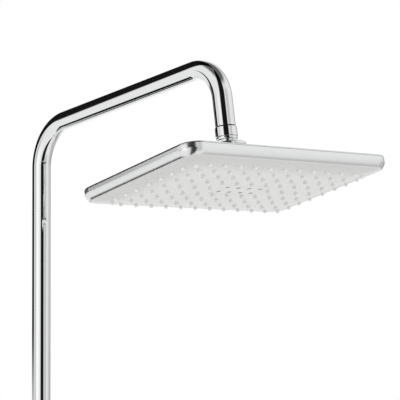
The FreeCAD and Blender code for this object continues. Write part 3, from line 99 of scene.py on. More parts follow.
# ------------------------------------------------------------------------------------ node graphs
class Graph:
    """A short way to write a node tree."""

    def __init__(self, tree: bpy.types.NodeTree) -> None:
        """Empty the tree and keep it.

        Args:
            tree: The node tree of a material or a world.
        """
        tree.nodes.clear()
        self.tree = tree

    def add(self, kind: str, **settings: object) -> bpy.types.Node:
        """Add a node.

        Args:
            kind: The node's type without the "ShaderNode" in front.
            settings: Values for the node's own properties.

        Returns:
            The new node.
        """
        node = self.tree.nodes.new("ShaderNode" + kind)
        for name, value in settings.items():
            setattr(node, name, value)
        return node

    def feed(self, socket: bpy.types.NodeSocket, source: object) -> None:
        """Link a source socket, or set a plain value.

        Args:
            socket: The input to fill.
            source: An output socket, a number, a vector or a colour.
        """
        if isinstance(source, bpy.types.NodeSocket):
            self.tree.links.new(source, socket)
        else:
            socket.default_value = source

    def maths(self, operation: str, *sources: object) -> bpy.types.NodeSocket:
        """Combine numbers.

        Args:
            operation: The Math node's operation.
            sources: Output sockets or numbers.

        Returns:
            The result's socket.
        """
        node = self.add("Math", operation=operation)
        for socket, source in zip(node.inputs, sources):
            self.feed(socket, source)
        return node.outputs[0]

    def remap(self, source: object, low: float, high: float, out_low: float, out_high: float,
              smooth: bool = False) -> bpy.types.NodeSocket:
        """Map a range of numbers onto another, clamped.

        Args:
            source: The socket to map.
            low: Start of the source's range.
            high: End of the source's range.
            out_low: The result at the start.
            out_high: The result at the end.
            smooth: Ease in and out in place of a straight ramp.

        Returns:
            The result's socket.
        """
        node = self.add("MapRange", interpolation_type="SMOOTHSTEP" if smooth else "LINEAR")
        for socket, value in zip(node.inputs, (source, low, high, out_low, out_high)):
            self.feed(socket, value)
        return node.outputs[0]

    def noise(self, scale: float, detail: float, stretch: Colour | None = None) -> bpy.types.NodeSocket:
        """Noise in the object's own space.

        Args:
            scale: Cycles per metre.
            detail: Octaves.
            stretch: Factors on X, Y and Z for a directional grain.

        Returns:
            The noise's factor socket.
        """
        place = self.add("TexCoord").outputs["Object"]
        if stretch is not None:
            mapping = self.add("Mapping")
            self.feed(mapping.inputs["Vector"], place)
            mapping.inputs["Scale"].default_value = stretch
            place = mapping.outputs[0]
        node = self.add("TexNoise")
        self.feed(node.inputs["Vector"], place)
        node.inputs["Scale"].default_value = scale
        node.inputs["Detail"].default_value = detail
        return node.outputs[0]


# ---------------------------------------------------------------------------------------- finishes
@dataclass(frozen=True)
class Finish:
    """A surface: one colour that drifts a little, a roughness that varies and a fine relief.

    Attributes:
        name: The material's name.
        colour: Linear colour.
        drift: How far the colour's value strays, as a share.
        drift_scale: Cycles per metre of the colour's drift.
        metal: 0 for plastic and rubber, 1 for metal.
        roughness: Lowest and highest roughness.
        grain_scale: Cycles per metre of the roughness and relief.
        grain_stretch: Factors on X, Y and Z that draw the grain out.
        relief: Depth of the relief, in metres.
        coat: Clear gloss on top.
        coat_roughness: Roughness of that gloss.
        sheen_through: Share of light that the material passes on inside.
        glow_radius: How far that light travels, in metres.
        ior: Refractive index.
    """

    name: str
    colour: Colour
    drift: float
    drift_scale: float
    metal: float
    roughness: tuple[float, float]
    grain_scale: float
    grain_stretch: Colour = (1.0, 1.0, 1.0)
    relief: float = 0.00001
    coat: float = 0.0
    coat_roughness: float = 0.06
    sheen_through: float = 0.0
    glow_radius: float = 0.002
    ior: float = 1.5

    def material(self) -> bpy.types.Material:
        """Return the finish as a node material, made once."""
        made = bpy.data.materials.get(self.name)
        if made is not None:
            return made
        made = bpy.data.materials.new(self.name)
        made.use_nodes = True
        graph = Graph(made.node_tree)
        shader = graph.add("BsdfPrincipled")
        output = graph.add("OutputMaterial")
        graph.feed(output.inputs["Surface"], shader.outputs[0])
        self.paint(graph, shader)
        shader.inputs["Metallic"].default_value = self.metal
        shader.inputs["IOR"].default_value = self.ior
        shader.inputs["Coat Weight"].default_value = self.coat
        shader.inputs["Coat Roughness"].default_value = self.coat_roughness
        shader.inputs["Subsurface Weight"].default_value = self.sheen_through
        shader.inputs["Subsurface Radius"].default_value = (self.glow_radius,) * 3
        shader.inputs["Subsurface Scale"].default_value = 1.0
        made.diffuse_color = (*self.colour, 1.0)
        return made

    def paint(self, graph: Graph, shader: bpy.types.Node) -> None:
        """Drive the colour, roughness and relief.

        Args:
            graph: The material's node tree.
            shader: The material's principled shader.
        """
        drift = graph.noise(self.drift_scale, COLOUR_OCTAVES)
        shade = graph.remap(drift, *NOISE_SPAN, 1.0 - self.drift, 1.0 + self.drift)
        tint = graph.add("VectorMath", operation="SCALE")
        tint.inputs[0].default_value = self.colour
        graph.feed(tint.inputs["Scale"], shade)
        graph.feed(shader.inputs["Base Color"], tint.outputs[0])
        grain = graph.noise(self.grain_scale, GRAIN_OCTAVES, self.grain_stretch)
        graph.feed(shader.inputs["Roughness"], graph.remap(grain, *NOISE_SPAN, *self.roughness))
        bump = graph.add("Bump")
        bump.inputs["Strength"].default_value = 1.0
        bump.inputs["Distance"].default_value = self.relief
        graph.feed(bump.inputs["Height"], grain)
        graph.feed(shader.inputs["Normal"], bump.outputs[0])


FINISHES: dict[Slot, Finish] = {
    Slot.CHROMED_BRASS: Finish("mirror_chrome_on_brass", (0.90, 0.905, 0.91), 0.01, 6.0, 1.0, (0.02, 0.04),
                               220.0, relief=0.0),
    Slot.CHROMED_PLASTIC: Finish("mirror_chrome_on_plastic", (0.89, 0.895, 0.90), 0.01, 6.0, 1.0,
                                 (0.21, 0.25), 160.0, relief=0.0),
    Slot.SPRAY_FACE: Finish("pale_spray_face", (0.69, 0.688, 0.68), 0.015, 25.0, 0.0, (0.20, 0.26), 900.0,
                            relief=0.000004, coat=0.5),
    Slot.SILICONE: Finish("nozzle_silicone", (0.93, 0.93, 0.925), 0.01, 200.0, 0.0, (0.32, 0.42), 1500.0,
                          relief=0.000004, sheen_through=0.08, glow_radius=0.0015, ior=1.41),
    Slot.RUBBER: Finish("black_rubber", (0.018, 0.018, 0.019), 0.15, 120.0, 0.0, (0.55, 0.70), 1200.0,
                        relief=0.00002),
    Slot.ACETAL: Finish("pale_acetal", (0.76, 0.76, 0.72), 0.02, 60.0, 0.0, (0.35, 0.45), 700.0,
                        relief=0.00001, sheen_through=0.1),
    Slot.BRASS: Finish("turned_brass", (0.70, 0.52, 0.25), 0.06, 90.0, 1.0, (0.22, 0.34), 2500.0,
                       (1.0, 1.0, 0.06), 0.000006),
    Slot.DARK_PLASTIC: Finish("dark_glass_filled_plastic", (0.035, 0.036, 0.038), 0.1, 150.0, 0.0,
                              (0.4, 0.52), 1400.0, relief=0.00002),
    Slot.STEEL: Finish("stainless_steel", (0.58, 0.575, 0.56), 0.04, 90.0, 1.0, (0.2, 0.32), 2200.0,
                       (0.08, 1.0, 1.0), 0.000004),
    Slot.BUTTON: Finish("red_button_gloss", (0.42, 0.012, 0.010), 0.03, 120.0, 0.0, (0.14, 0.2), 600.0,
                        relief=0.000004, coat=0.5),
}
# The end fitting shows only as the seam's bottom over the joint's nut; its near-black colour is painted
# shadow.
SEAM_SHADOW_FINISHES = {"arm_end_fitting": Finish("painted_seam_shadow", (0.05, 0.05, 0.052), 0.05, 90.0, 1.0,
                                           (0.35, 0.45), 900.0)}
BARE_FLOOR = Finish("pale_floor", (0.80, 0.80, 0.80), 0.01, 1.5, 0.0, (0.55, 0.65), 60.0, relief=0.0)


def dress(obj: bpy.types.Object, finish: Finish) -> None:
    """Give a whole object one finish.

    Args:
        obj: The object to dress.
        finish: Its finish.
    """
    material = finish.material()
    if not obj.material_slots:
        obj.data.materials.append(material)
    for holder in obj.material_slots:
        holder.link = "OBJECT"
        holder.material = material


def dress_carried_nodes(packed: dict) -> int:
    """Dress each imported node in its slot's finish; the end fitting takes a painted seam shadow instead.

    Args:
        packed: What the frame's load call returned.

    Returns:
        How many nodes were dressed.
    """
    for entry in packed["record"]["subparts"]:
        node = entry["node"]
        dress(packed["nodes"][node], SEAM_SHADOW_FINISHES.get(node, FINISHES[Slot(entry["material_slot"])]))
    return len(packed["record"]["subparts"])


# ------------------------------------------------------------------------------------------ meshes
def finish_piece(name: str, mesh: bmesh.types.BMesh, body: Body, slot: Slot,
                 hides: Iterable[str] = ()) -> bpy.types.Object:
    """Turn a mesh into a dressed piece that rides on a body.

    Args:
        name: The piece's name.
        mesh: The mesh, in the row's frame; it is freed.
        body: The body to ride on.
        slot: The material slot that it takes its finish from.
        hides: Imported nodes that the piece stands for.

    Returns:
        The new object.
    """
    bmesh.ops.recalc_face_normals(mesh, faces=mesh.faces)
    data = bpy.data.meshes.new(name)
    mesh.to_mesh(data)
    mesh.free()
    data.shade_smooth()
    data.set_sharp_from_angle(angle=math.radians(SHARP_ANGLE))
    piece = bpy.data.objects.new(name, data)
    bpy.context.scene.collection.objects.link(piece)
    dress(piece, FINISHES[slot])
    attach(piece, body.value)
    nodes = tuple(hides)
    if nodes:
        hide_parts(*nodes)
    log.info("piece %s: %d faces on %s", name, len(data.polygons), body.value)
    return piece


def join_rings(mesh: bmesh.types.BMesh, rings: Sequence[Sequence[Vector]], close: bool) -> None:
    """Skin a row of rings with quads.

    Args:
        mesh: The mesh to add to.
        rings: Rings of as many points each, in order.
        close: Join the last ring to the first; without it, both end rings are capped.
    """
    made = [[mesh.verts.new(point) for point in ring] for ring in rings]
    pairs = list(zip(made, made[1:] + made[:1])) if close else list(zip(made, made[1:]))
    for lower, upper in pairs:
        for index in range(len(lower)):
            after = (index + 1) % len(lower)
            mesh.faces.new((lower[index], lower[after], upper[after], upper[index]))
    if not close:
        mesh.faces.new(made[0])
        mesh.faces.new(made[-1])


def turned_ring(place: Matrix, radius: float, height: float, sides: int) -> list[Vector]:
    """Return a ring of points about a placed axis.

    Args:
        place: Frame whose Z is the axis.
        radius: The ring's radius.
        height: Its height along the axis.
        sides: How many points it has.

    Returns:
        The ring's points.
    """
    steps = [2 * math.pi * index / sides for index in range(sides)]
    return [place @ Vector((radius * math.cos(turn), radius * math.sin(turn), height)) for turn in steps]


def rounded_end(radius: float, inset: float, height: float, steps: int = 5) -> Outline:
    """Return the round under a turned part's side as (radius, height) points, down to its end face.

    Args:
        radius: The radius before the round.
        inset: Radius of the round.
        height: Height of the end face.
        steps: How many pieces the round has.

    Returns:
        The points of the round.
    """
    turns = [math.pi / 2 * step / steps for step in range(steps + 1)]
    return [(radius - inset + inset * math.cos(turn), height + (inset - inset * math.sin(turn)))
            for turn in turns]


# ---------------------------------------------------------------------------------------- the riser
@dataclass
class BentPipe:
    """The riser and arm: one polished tube with two bends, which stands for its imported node.

    Attributes:
        node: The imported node.
        stand_off: From the wall face to the riser's axis.
        corner_height: Height of the corner between riser and arm.
        arm_length: From that corner to the elbow's corner.
        arm_rise: How far the arm climbs, in degrees.
        down_length: From the elbow's corner to the tube's end.
        down_lean: How far the down-tube leans back, in degrees.
        first_bend: Radius of the bend above the riser.
        second_bend: Radius of the elbow.
        radius: Outer radius of the tube.
        wall: Its wall.
        edge: Round of the cut ends.
        sides: Points round the tube.
        arc_step: Turn from ring to ring in a bend, in degrees.
        run_step: Longest face along a straight run.
    """

    node: str = "riser_arm_pipe"
    stand_off: float = 62 * MM
    corner_height: float = 1090 * MM
    arm_length: float = 317.5 * MM
    arm_rise: float = 9.0
    down_length: float = 72 * MM
    down_lean: float = 9.0
    first_bend: float = 55 * MM
    second_bend: float = 40 * MM
    radius: float = 11 * MM
    wall: float = 1 * MM
    edge: float = 0.25 * MM
    sides: int = 128
    arc_step: float = 1.5
    run_step: float = 40 * MM

    def corners(self) -> list[Vector]:
        """Return the tube's ends and its two corners."""
        rise, lean = math.radians(self.arm_rise), math.radians(self.down_lean)
        foot = Vector((0.0, -self.stand_off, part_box(self.node)[0].z))
        first = Vector((0.0, -self.stand_off, self.corner_height))
        second = first + self.arm_length * Vector((0.0, -math.cos(rise), math.sin(rise)))
        end = second - self.down_length * Vector((0.0, math.sin(lean), math.cos(lean)))
        return [foot, first, second, end]

    def centre_line(self) -> list[tuple[Vector, Vector]]:
        """Return places along the tube's axis, each with its direction."""
        foot, first, second, end = self.corners()
        line = [(foot, (first - foot).normalized())]
        for before, corner, after, bend in ((foot, first, second, self.first_bend),
                                            (first, second, end, self.second_bend)):
            into, out = (corner - before).normalized(), (after - corner).normalized()
            turn = into.angle(out)
            centre = corner + (out - into).normalized() * bend / math.cos(turn / 2)
            start = corner - into * bend * math.tan(turn / 2)
            axis = into.cross(out).normalized()
            steps = round(math.degrees(turn) / self.arc_step)
            for step in range(steps + 1):
                spin = Matrix.Rotation(turn * step / steps, 3, axis)
                line.append((centre + spin @ (start - centre), spin @ into))
        line.append((end, (end - second).normalized()))
        return line

    def divided(self, line: list[tuple[Vector, Vector]]) -> list[tuple[Vector, Vector]]:
        """Return the line with its straight runs divided, so that no face of the tube is long."""
        places = [line[0]]
        for (here, ahead), (there, onward) in zip(line, line[1:]):
            parts = math.ceil((there - here).length / self.run_step)
            places += [(here.lerp(there, part / parts), ahead) for part in range(1, parts)]
            places.append((there, onward))
        return places

    def ring(self, place: Vector, ahead: Vector, radius: float) -> list[Vector]:
        """Return a ring about the centre line.

        Args:
            place: A place on the centre line.
            ahead: The line's direction there.
            radius: The ring's radius.

        Returns:
            The ring's points.
        """
        across = Vector((1.0, 0.0, 0.0))
        frame_here = Matrix((across, ahead.cross(across), ahead)).transposed().to_4x4()
        return turned_ring(Matrix.Translation(place) @ frame_here, radius, 0.0, self.sides)

    def build(self) -> bpy.types.Object:
        """Sweep the tube with its bore and rounded ends."""
        line = self.divided(self.centre_line())
        inner = self.radius - self.wall
        (foot, up), (end, down) = line[0], line[-1]
        rings = [self.ring(foot, up, self.radius - self.edge)]
        rings.append(self.ring(foot + up * self.edge, up, self.radius))
        rings += [self.ring(place, ahead, self.radius) for place, ahead in line[1:-1]]
        rings.append(self.ring(end - down * self.edge, down, self.radius))
        rings.append(self.ring(end, down, self.radius - self.edge))
        rings += [self.ring(place, ahead, inner) for place, ahead in reversed(line)]
        mesh = bmesh.new()
        join_rings(mesh, rings, close=True)
        return finish_piece("riser_arm_pipe_polished", mesh, Body.RISER, Slot.CHROMED_BRASS, [self.node])


# ------------------------------------------------------------------------------ the overhead shower
@dataclass
class SoftNozzles:
    """The soft nozzles of the silicone mat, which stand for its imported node.

    Attributes:
        node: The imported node.
        pitch: How far the head tips about the ball, in degrees.
        face_middle: The face's middle, behind the ball's axis.
        low_edge: The face's edge, below the ball's centre.
        mat_low: The mat's face, below the ball's centre.
        mat_thickness: Thickness of the mat.
        face_size: Length and width of the face's crowned part.
        crown: How far the face's middle stands down.
        crown_reach: From the face's edge to where it is flat.
        columns: Nozzles along the face.
        column_pitch: Distance between columns.
        first_row: The first rows beside the middle row.
        row_pitch: Distance between the other rows.
        side_rows: Rows on each side of the middle one.
        corner_pull: How far the corner nozzles are drawn in.
        insert_size: Length and width of the centre insert.
        base_radius: Radius of a nozzle at the face.
        tip_radius: Radius at its tip.
        length: How far it stands out.
        collar: Height of the soft fillet at its foot.
        bore: Radius of its jet hole.
        bore_depth: How deep the hole shows.
        core: Radius left open along a nozzle's axis, behind the hole.
        sides: Points round a nozzle.
    """

    node: str = "nozzle_mat"
    pitch: float = 13.5
    face_middle: float = -6 * MM
    low_edge: float = -42.4 * MM
    mat_low: float = -36.5 * MM
    mat_thickness: float = 1.2 * MM
    face_size: tuple[float, float] = (278.4 * MM, 170.4 * MM)
    crown: float = 5.2 * MM
    crown_reach: float = 32 * MM
    columns: int = 13
    column_pitch: float = 21 * MM
    first_row: float = 20 * MM
    row_pitch: float = 17.3 * MM
    side_rows: int = 4
    corner_pull: tuple[float, float] = (5.7 * MM, 4.6 * MM)
    insert_size: tuple[float, float] = (64 * MM, 30 * MM)
    base_radius: float = 2.1 * MM
    tip_radius: float = 1.9 * MM
    length: float = 2.6 * MM
    collar: float = 0.25 * MM
    bore: float = 0.5 * MM
    bore_depth: float = 1.2 * MM
    core: float = 0.125 * MM
    sides: int = 28

    def place(self) -> Matrix:
        """Return the head's frame: its origin is the ball's centre and its Z stands square to the face."""
        joint = next(item for item in frame["record"]["behaviour"]["joints"] if item["name"] == "head_tilt")
        turn = Matrix.Rotation(-math.radians(self.pitch), 4, "X")
        return Matrix.Translation(joint["pos_m"]) @ turn

    def spots(self) -> list[tuple[float, float]]:
        """Return each nozzle's place about the middle of the face."""
        half = self.columns // 2
        rows = [0.0] + [side * (self.first_row + step * self.row_pitch)
                        for step in range(self.side_rows) for side in (1, -1)]
        last = max(rows)
        places = []
        for y in rows:
            for column in range(-half, half + 1):
                x = column * self.column_pitch
                clear = [size / 2 + self.base_radius for size in self.insert_size]
                if abs(x) < clear[0] and abs(y) < clear[1]:
                    continue
                if abs(column) == half and abs(y) == last:
                    places.append((x - math.copysign(self.corner_pull[0], x),
                                   y - math.copysign(self.corner_pull[1], y)))
                    continue
                places.append((x, y))
        return places

    def face_height(self, x: float, y: float) -> float:
        """Return the face's height at a place about its middle."""
        inset = min(self.face_size[0] / 2 - abs(x), self.face_size[1] / 2 - abs(y))
        share = 1 - min(max(inset, 0.0) / self.crown_reach, 1.0)
        return self.low_edge - self.crown * (1 - share ** 2)

    def profile(self, face: float) -> Outline:
        """Return one nozzle's outline, from the mat down to the jet hole and back along its axis.

        Args:
            face: Height of the face round the nozzle.

        Returns:
            Radius and height of each point.
        """
        tip = face - self.length
        root = self.mat_low + self.mat_thickness / 2
        foot = [(self.base_radius, root), (self.base_radius, face), (self.base_radius, face - self.collar),
                (self.base_radius - self.collar, face - 2 * self.collar)]
        nose = rounded_end(self.tip_radius, self.tip_radius - 2 * self.bore, tip)
        lip = [(self.bore + self.collar / 2, tip), (self.bore, tip + self.collar / 2)]
        hole = tip + self.bore_depth
        return foot + nose + lip + [(self.bore, hole), (self.core, hole), (self.core, root)]

    def build(self) -> bpy.types.Object:
        """Build every nozzle as a closed solid, from inside the mat outwards, in one mesh."""
        mesh = bmesh.new()
        head = self.place()
        for x, y in self.spots():
            centre = head @ Matrix.Translation((x, y + self.face_middle, 0.0))
            outline = self.profile(self.face_height(x, y))
            rings = [turned_ring(centre, radius, height, self.sides) for radius, height in outline]
            join_rings(mesh, rings, close=True)
        return finish_piece("soft_nozzles", mesh, Body.HEAD, Slot.SILICONE, [self.node])


# --------------------------------------------------------------------------------------- the threads
@dataclass
class PipeThread:
    """A cut pipe thread about the Z of its frame, from its free end at the origin.

    Attributes:
        length: Length of the thread.
        radius: Its major radius.
        pitch: Climb of one turn.
        depth: Depth of the thread.
        runout: Length over which it fades at each end.
        shoulder: Depth of the groove behind it.
        sides: Points round the thread.
        turn_steps: Rings in one turn.
    """

    length: float
    radius: float = 10.48 * MM
    pitch: float = 1.814 * MM
    depth: float = 1.16 * MM
    runout: float = 1.5 * MM
    shoulder: float = 0.7 * MM
    sides: int = 72
    turn_steps: int = 10

    def groove(self, turn: float, height: float) -> float:
        """Return how far the surface lies under the major radius.

        Args:
            turn: Angle about the axis.
            height: Height along it.

        Returns:
            The depth there.
        """
        phase = 2 * math.pi * height / self.pitch - turn
        to_shoulder = min(1.0, (self.length - height) / self.runout)
        fade = min(1.0, height / self.runout, to_shoulder)
        return self.depth * (0.5 + 0.5 * math.cos(phase)) * fade + self.shoulder * (1 - to_shoulder) ** 2

    def rings(self, place: Matrix) -> list[list[Vector]]:
        """Return the thread's surface as rings, from its free end.

        Args:
            place: Frame whose Z is the thread's axis and whose origin is its free end.
        """
        count = round(self.length / self.pitch * self.turn_steps)
        turns = [2 * math.pi * index / self.sides for index in range(self.sides)]
        rings = []
        for step in range(count + 1):
            height = self.length * step / count
            reach = [self.radius - self.groove(turn, height) for turn in turns]
            rings.append([place @ Vector((far * math.cos(turn), far * math.sin(turn), height))
                          for far, turn in zip(reach, turns)])
        return rings


def threaded_fitting(node: str, place: Matrix, thread: PipeThread, sections: Iterable[Section],
                     slot: Slot) -> bpy.types.Object:
    """Build a fitting whose free end carries a cut thread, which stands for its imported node.

    Args:
        node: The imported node.
        place: Frame whose Z is the thread's axis and whose origin is its free end.
        thread: The thread.
        sections: Shift along Y, radius and height of the rings behind the thread and back through the bore.
        slot: Its material slot.

    Returns:
        The piece.
    """
    rings = thread.rings(place)
    for shift, radius, height in sections:
        rings.append(turned_ring(place @ Matrix.Translation((0.0, shift, 0.0)), radius, height, thread.sides))
    mesh = bmesh.new()
    join_rings(mesh, rings, close=True)
    return finish_piece(f"{node}_threaded", mesh, Body.WALL, slot, [node])


@dataclass
class HoseOutlet:
    """The hose outlet under the mixer.

    Attributes:
        node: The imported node.
        stand_off: From the wall face to its axis.
        thread: The hose's thread.
        collar_radius: Radius of the collar over the thread.
        collar_height: Its height.
        edge: Round of its edges and of the bore's mouth.
        plug_radius: Radius of the part inside the mixer.
        plug_length: Its length.
        bore: Radius of the bore.
        mouth: Height of the bore's bevelled mouth.
    """

    node: str = "hose_outlet"
    stand_off: float = 62 * MM
    thread: PipeThread = field(default_factory=lambda: PipeThread(12 * MM))
    collar_radius: float = 12.6 * MM
    collar_height: float = 3 * MM
    edge: float = 0.5 * MM
    plug_radius: float = 10 * MM
    plug_length: float = 12 * MM
    bore: float = 6.5 * MM
    mouth: float = 0.4 * MM

    def build(self) -> bpy.types.Object:
        """Build the outlet, thread down."""
        collar_low = self.thread.length
        collar_top = collar_low + self.collar_height
        plug_top = collar_top + self.plug_length
        outline = [
            (self.collar_radius - self.edge, collar_low), (self.collar_radius, collar_low + self.edge),
            (self.collar_radius, collar_top - self.edge), (self.collar_radius - self.edge, collar_top),
            (self.plug_radius, collar_top), (self.plug_radius, plug_top), (self.bore, plug_top),
            (self.bore, self.mouth), (self.bore + self.edge, 0.0)]
        place = Matrix.Translation((0.0, -self.stand_off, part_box(self.node)[0].z))
        sections = [(0.0, radius, height) for radius, height in outline]
        return threaded_fitting(self.node, place, self.thread, sections, Slot.CHROMED_BRASS)


@dataclass
class EccentricUnion:
    """The union between a wall inlet and the mixer, whose two ends are out of line.

    Attributes:
        node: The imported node.
        station: X of the wall inlet.
        thread: The wall's thread.
        offset: How far the front end lies over the wall's thread.
        disc_radius: Radius of the middle disc.
        disc_length: Its length.
        edge: Round of the disc's edges.
        front_radius: Radius of the front end, under the union nut.
        front_length: Its length.
        mouth: Bevel of both mouths of the bore and of the front end.
        bore: Radius of the bore.
        swerve: Where the bore bends: share of the offset, and distance from the free end.
    """

    node: str
    station: float
    thread: PipeThread = field(default_factory=lambda: PipeThread(18 * MM))
    offset: float = 8 * MM
    disc_radius: float = 15 * MM
    disc_length: float = 8 * MM
    edge: float = 0.5 * MM
    front_radius: float = 13.2 * MM
    front_length: float = 16 * MM
    mouth: float = 0.4 * MM
    bore: float = 7 * MM
    swerve: tuple[tuple[float, float], ...] = (
        (1.0, 28 * MM), (0.875, 25.5 * MM), (0.5, 22 * MM), (0.125, 18.5 * MM), (0.0, 16 * MM))

    def build(self) -> bpy.types.Object:
        """Build the union, wall thread first."""
        middle, disc_back = self.offset / 2, self.thread.length
        disc_front = disc_back + self.disc_length
        front = disc_front + self.front_length
        sections = [
            (middle, self.disc_radius - self.edge, disc_back),
            (middle, self.disc_radius, disc_back + self.edge),
            (middle, self.disc_radius, disc_front - self.edge),
            (middle, self.disc_radius - self.edge, disc_front),
            (self.offset, self.front_radius, disc_front),
            (self.offset, self.front_radius, front - self.mouth),
            (self.offset, self.front_radius - self.mouth, front),
            (self.offset, self.bore, front)]
        sections += [(share * self.offset, self.bore, height) for share, height in self.swerve]
        sections += [(0.0, self.bore, self.mouth), (0.0, self.bore + self.mouth, 0.0)]
        towards_room = Matrix.Rotation(math.radians(90), 4, "X")
        place = Matrix.Translation((self.station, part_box(self.node)[1].y, 0.0)) @ towards_room
        return threaded_fitting(self.node, place, self.thread, sections, Slot.BRASS)


# ----------------------------------------------------------------------------------------- springs
@dataclass
class ButtonSpring:
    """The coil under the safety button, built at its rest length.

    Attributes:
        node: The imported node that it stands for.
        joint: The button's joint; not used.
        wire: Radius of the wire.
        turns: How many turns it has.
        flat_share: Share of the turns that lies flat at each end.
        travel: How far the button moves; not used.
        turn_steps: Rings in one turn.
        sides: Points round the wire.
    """

    node: str = "button_spring"
    joint: str = "button_press"
    wire: float = 0.35 * MM
    turns: float = 5.5
    flat_share: float = 0.12
    travel: float = 2.2 * MM
    turn_steps: int = 36
    sides: int = 12

    def build(self) -> bpy.types.Object:
        """Wind the coil at its rest length."""
        low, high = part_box(self.node)
        middle = (low + high) / 2
        radius = (high.x - low.x) / 2 - self.wire
        count = round(self.turns * self.turn_steps)
        rings = []
        for step in range(count + 1):
            share = min(max((step / count - self.flat_share) / (1 - 2 * self.flat_share), 0.0), 1.0)
            turn = 2 * math.pi * step / self.turn_steps
            outward = Vector((math.cos(turn), math.sin(turn), 0.0))
            place = Vector((middle.x, middle.y, low.z + self.wire + share * (high.z - low.z - 2 * self.wire)))
            angles = [2 * math.pi * index / self.sides for index in range(self.sides)]
            rings.append([place + outward * (radius + self.wire * math.cos(angle))
                          + Vector((0.0, 0.0, self.wire * math.sin(angle))) for angle in angles])
        mesh = bmesh.new()
        join_rings(mesh, rings, close=False)
        piece = finish_piece("button_spring_coil", mesh, Body.TEMPERATURE, Slot.STEEL, [self.node])
        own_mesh(piece)
        return piece


# ------------------------------------------------------------------------------------------- marks
@dataclass
class DialMarks:
    """Filled scale marks round a handle.

    Attributes:
        name: The piece's name.
        body: The body it rides on.
        axis: Y and Z of the handle's axis.
        radius: The handle's radius.
        station: X of the marks' middle.
        turns: Each mark's place round the axis, in degrees from the front, upwards.
        lengths: Each mark's length along the axis.
        width: A mark's width.
        proud: How far the filling stands out.
        depth: How deep it goes.
        steps: Points round half of a mark's end.
    """

    name: str
    body: Body
    axis: tuple[float, float]
    radius: float
    station: float
    turns: tuple[float, ...]
    lengths: tuple[float, ...]
    width: float = 0.9 * MM
    proud: float = 0.06 * MM
    depth: float = 0.3 * MM
    steps: int = 6

    def outline(self, turn: float, length: float, height: float) -> list[Vector]:
        """Return a mark's outline on the handle, at a height over its surface.

        Args:
            turn: The mark's place round the axis, in degrees.
            length: Its length.
            height: The height.

        Returns:
            The outline's points.
        """
        points = []
        half, end, far = self.width / 2, length / 2 - self.width / 2, self.radius + height
        for side in (1, -1):
            for step in range(self.steps + 1):
                sweep = math.pi * step / self.steps - side * math.pi / 2
                along, across = side * end + half * math.cos(sweep), half * math.sin(sweep)
                angle = math.radians(turn) + across / self.radius
                points.append(Vector((self.station + along, self.axis[0] - far * math.cos(angle),
                                      self.axis[1] + far * math.sin(angle))))
        return points

    def build(self) -> bpy.types.Object:
        """Build every mark as a closed solid in one mesh."""
        mesh = bmesh.new()
        for turn, length in zip(self.turns, self.lengths):
            rings = [self.outline(turn, length, height) for height in (-self.depth, self.proud)]
            join_rings(mesh, rings, close=False)
        return finish_piece(self.name, mesh, self.body, Slot.DARK_PLASTIC)


@dataclass
class HandleScales:
    """The marks on both handles and their pointers on the mixer body.

    Attributes:
        axis: Y and Z of the mixer's axis.
        radius: Radius of the mixer and its handles.
        scale_station: Distance from the middle to a handle's marks.
        pointer_station: Distance from the middle to a pointer.
        turns: Where the marks lie round the axis, in degrees.
        long_step: Every mark that is a multiple of this is long, in degrees.
        long_mark: Length of a long mark.
        short_mark: Length of a short one.
        pointer: Length of a pointer.
    """

    axis: tuple[float, float] = (-62 * MM, 8 * MM)
    radius: float = 21 * MM
    scale_station: float = 99 * MM
    pointer_station: float = 90 * MM
    turns: tuple[float, ...] = tuple(range(-60, 61, 15))
    long_step: float = 60
    long_mark: float = 4.2 * MM
    short_mark: float = 2.6 * MM
    pointer: float = 2.4 * MM

    def build(self) -> None:
        """Build both scales and both pointers."""
        lengths = tuple(self.short_mark if turn % self.long_step else self.long_mark for turn in self.turns)
        scale = (self.turns, lengths)
        pointer = ((0.0,), (self.pointer,))
        rows = (("temperature_marks", Body.TEMPERATURE, self.scale_station, *scale),
                ("flow_marks", Body.FLOW, -self.scale_station, *scale),
                ("pointer_marks", Body.WALL, self.pointer_station, *pointer),
                ("flow_pointer_mark", Body.WALL, -self.pointer_station, *pointer))
        for name, body, station, turns, marks in rows:
            DialMarks(name, body, self.axis, self.radius, station, turns, marks).build()


# ------------------------------------------------------------------------------------------ studio
@dataclass(frozen=True)
class Shade:
    """A dark flag or a bright panel in the studio, as a patch of directions.

    Attributes:
        bearing: Middle of the patch, in degrees from +Y towards +X.
        reach: Half its width, in degrees.
        low: Lowest elevation, in degrees.
        high: Highest elevation, in degrees.
        depth: How dark it is, up to 1; below 0 it is brighter than the surround.
        soft: Width of its soft edge, in degrees.
    """

    bearing: float
    reach: float
    low: float
    high: float
    depth: float
    soft: float


@dataclass(frozen=True)
class Softbox:
    """A square lamp that faces the upper part of the column.

    Attributes:
        name: The lamp's name.
        place: Its place.
        side: Its side, in metres.
        power: Its power, in watts.
        aim: The place it faces.
    """

    name: str
    place: tuple[float, float, float]
    side: float
    power: float
    aim: tuple[float, float, float] = (0.0, -0.3, 0.9)

    def hang(self) -> None:
        """Add the lamp, which chrome doesn't mirror."""
        data = bpy.data.lights.new(self.name, "AREA")
        data.shape = "SQUARE"
        data.size = self.side
        data.energy = self.power
        lamp = bpy.data.objects.new(self.name, data)
        lamp.location = self.place
        lamp.visible_glossy = False
        lamp.rotation_mode = "QUATERNION"
        lamp.rotation_quaternion = (Vector(self.place) - Vector(self.aim)).to_track_quat("Z", "Y")
        bpy.context.scene.collection.objects.link(lamp)


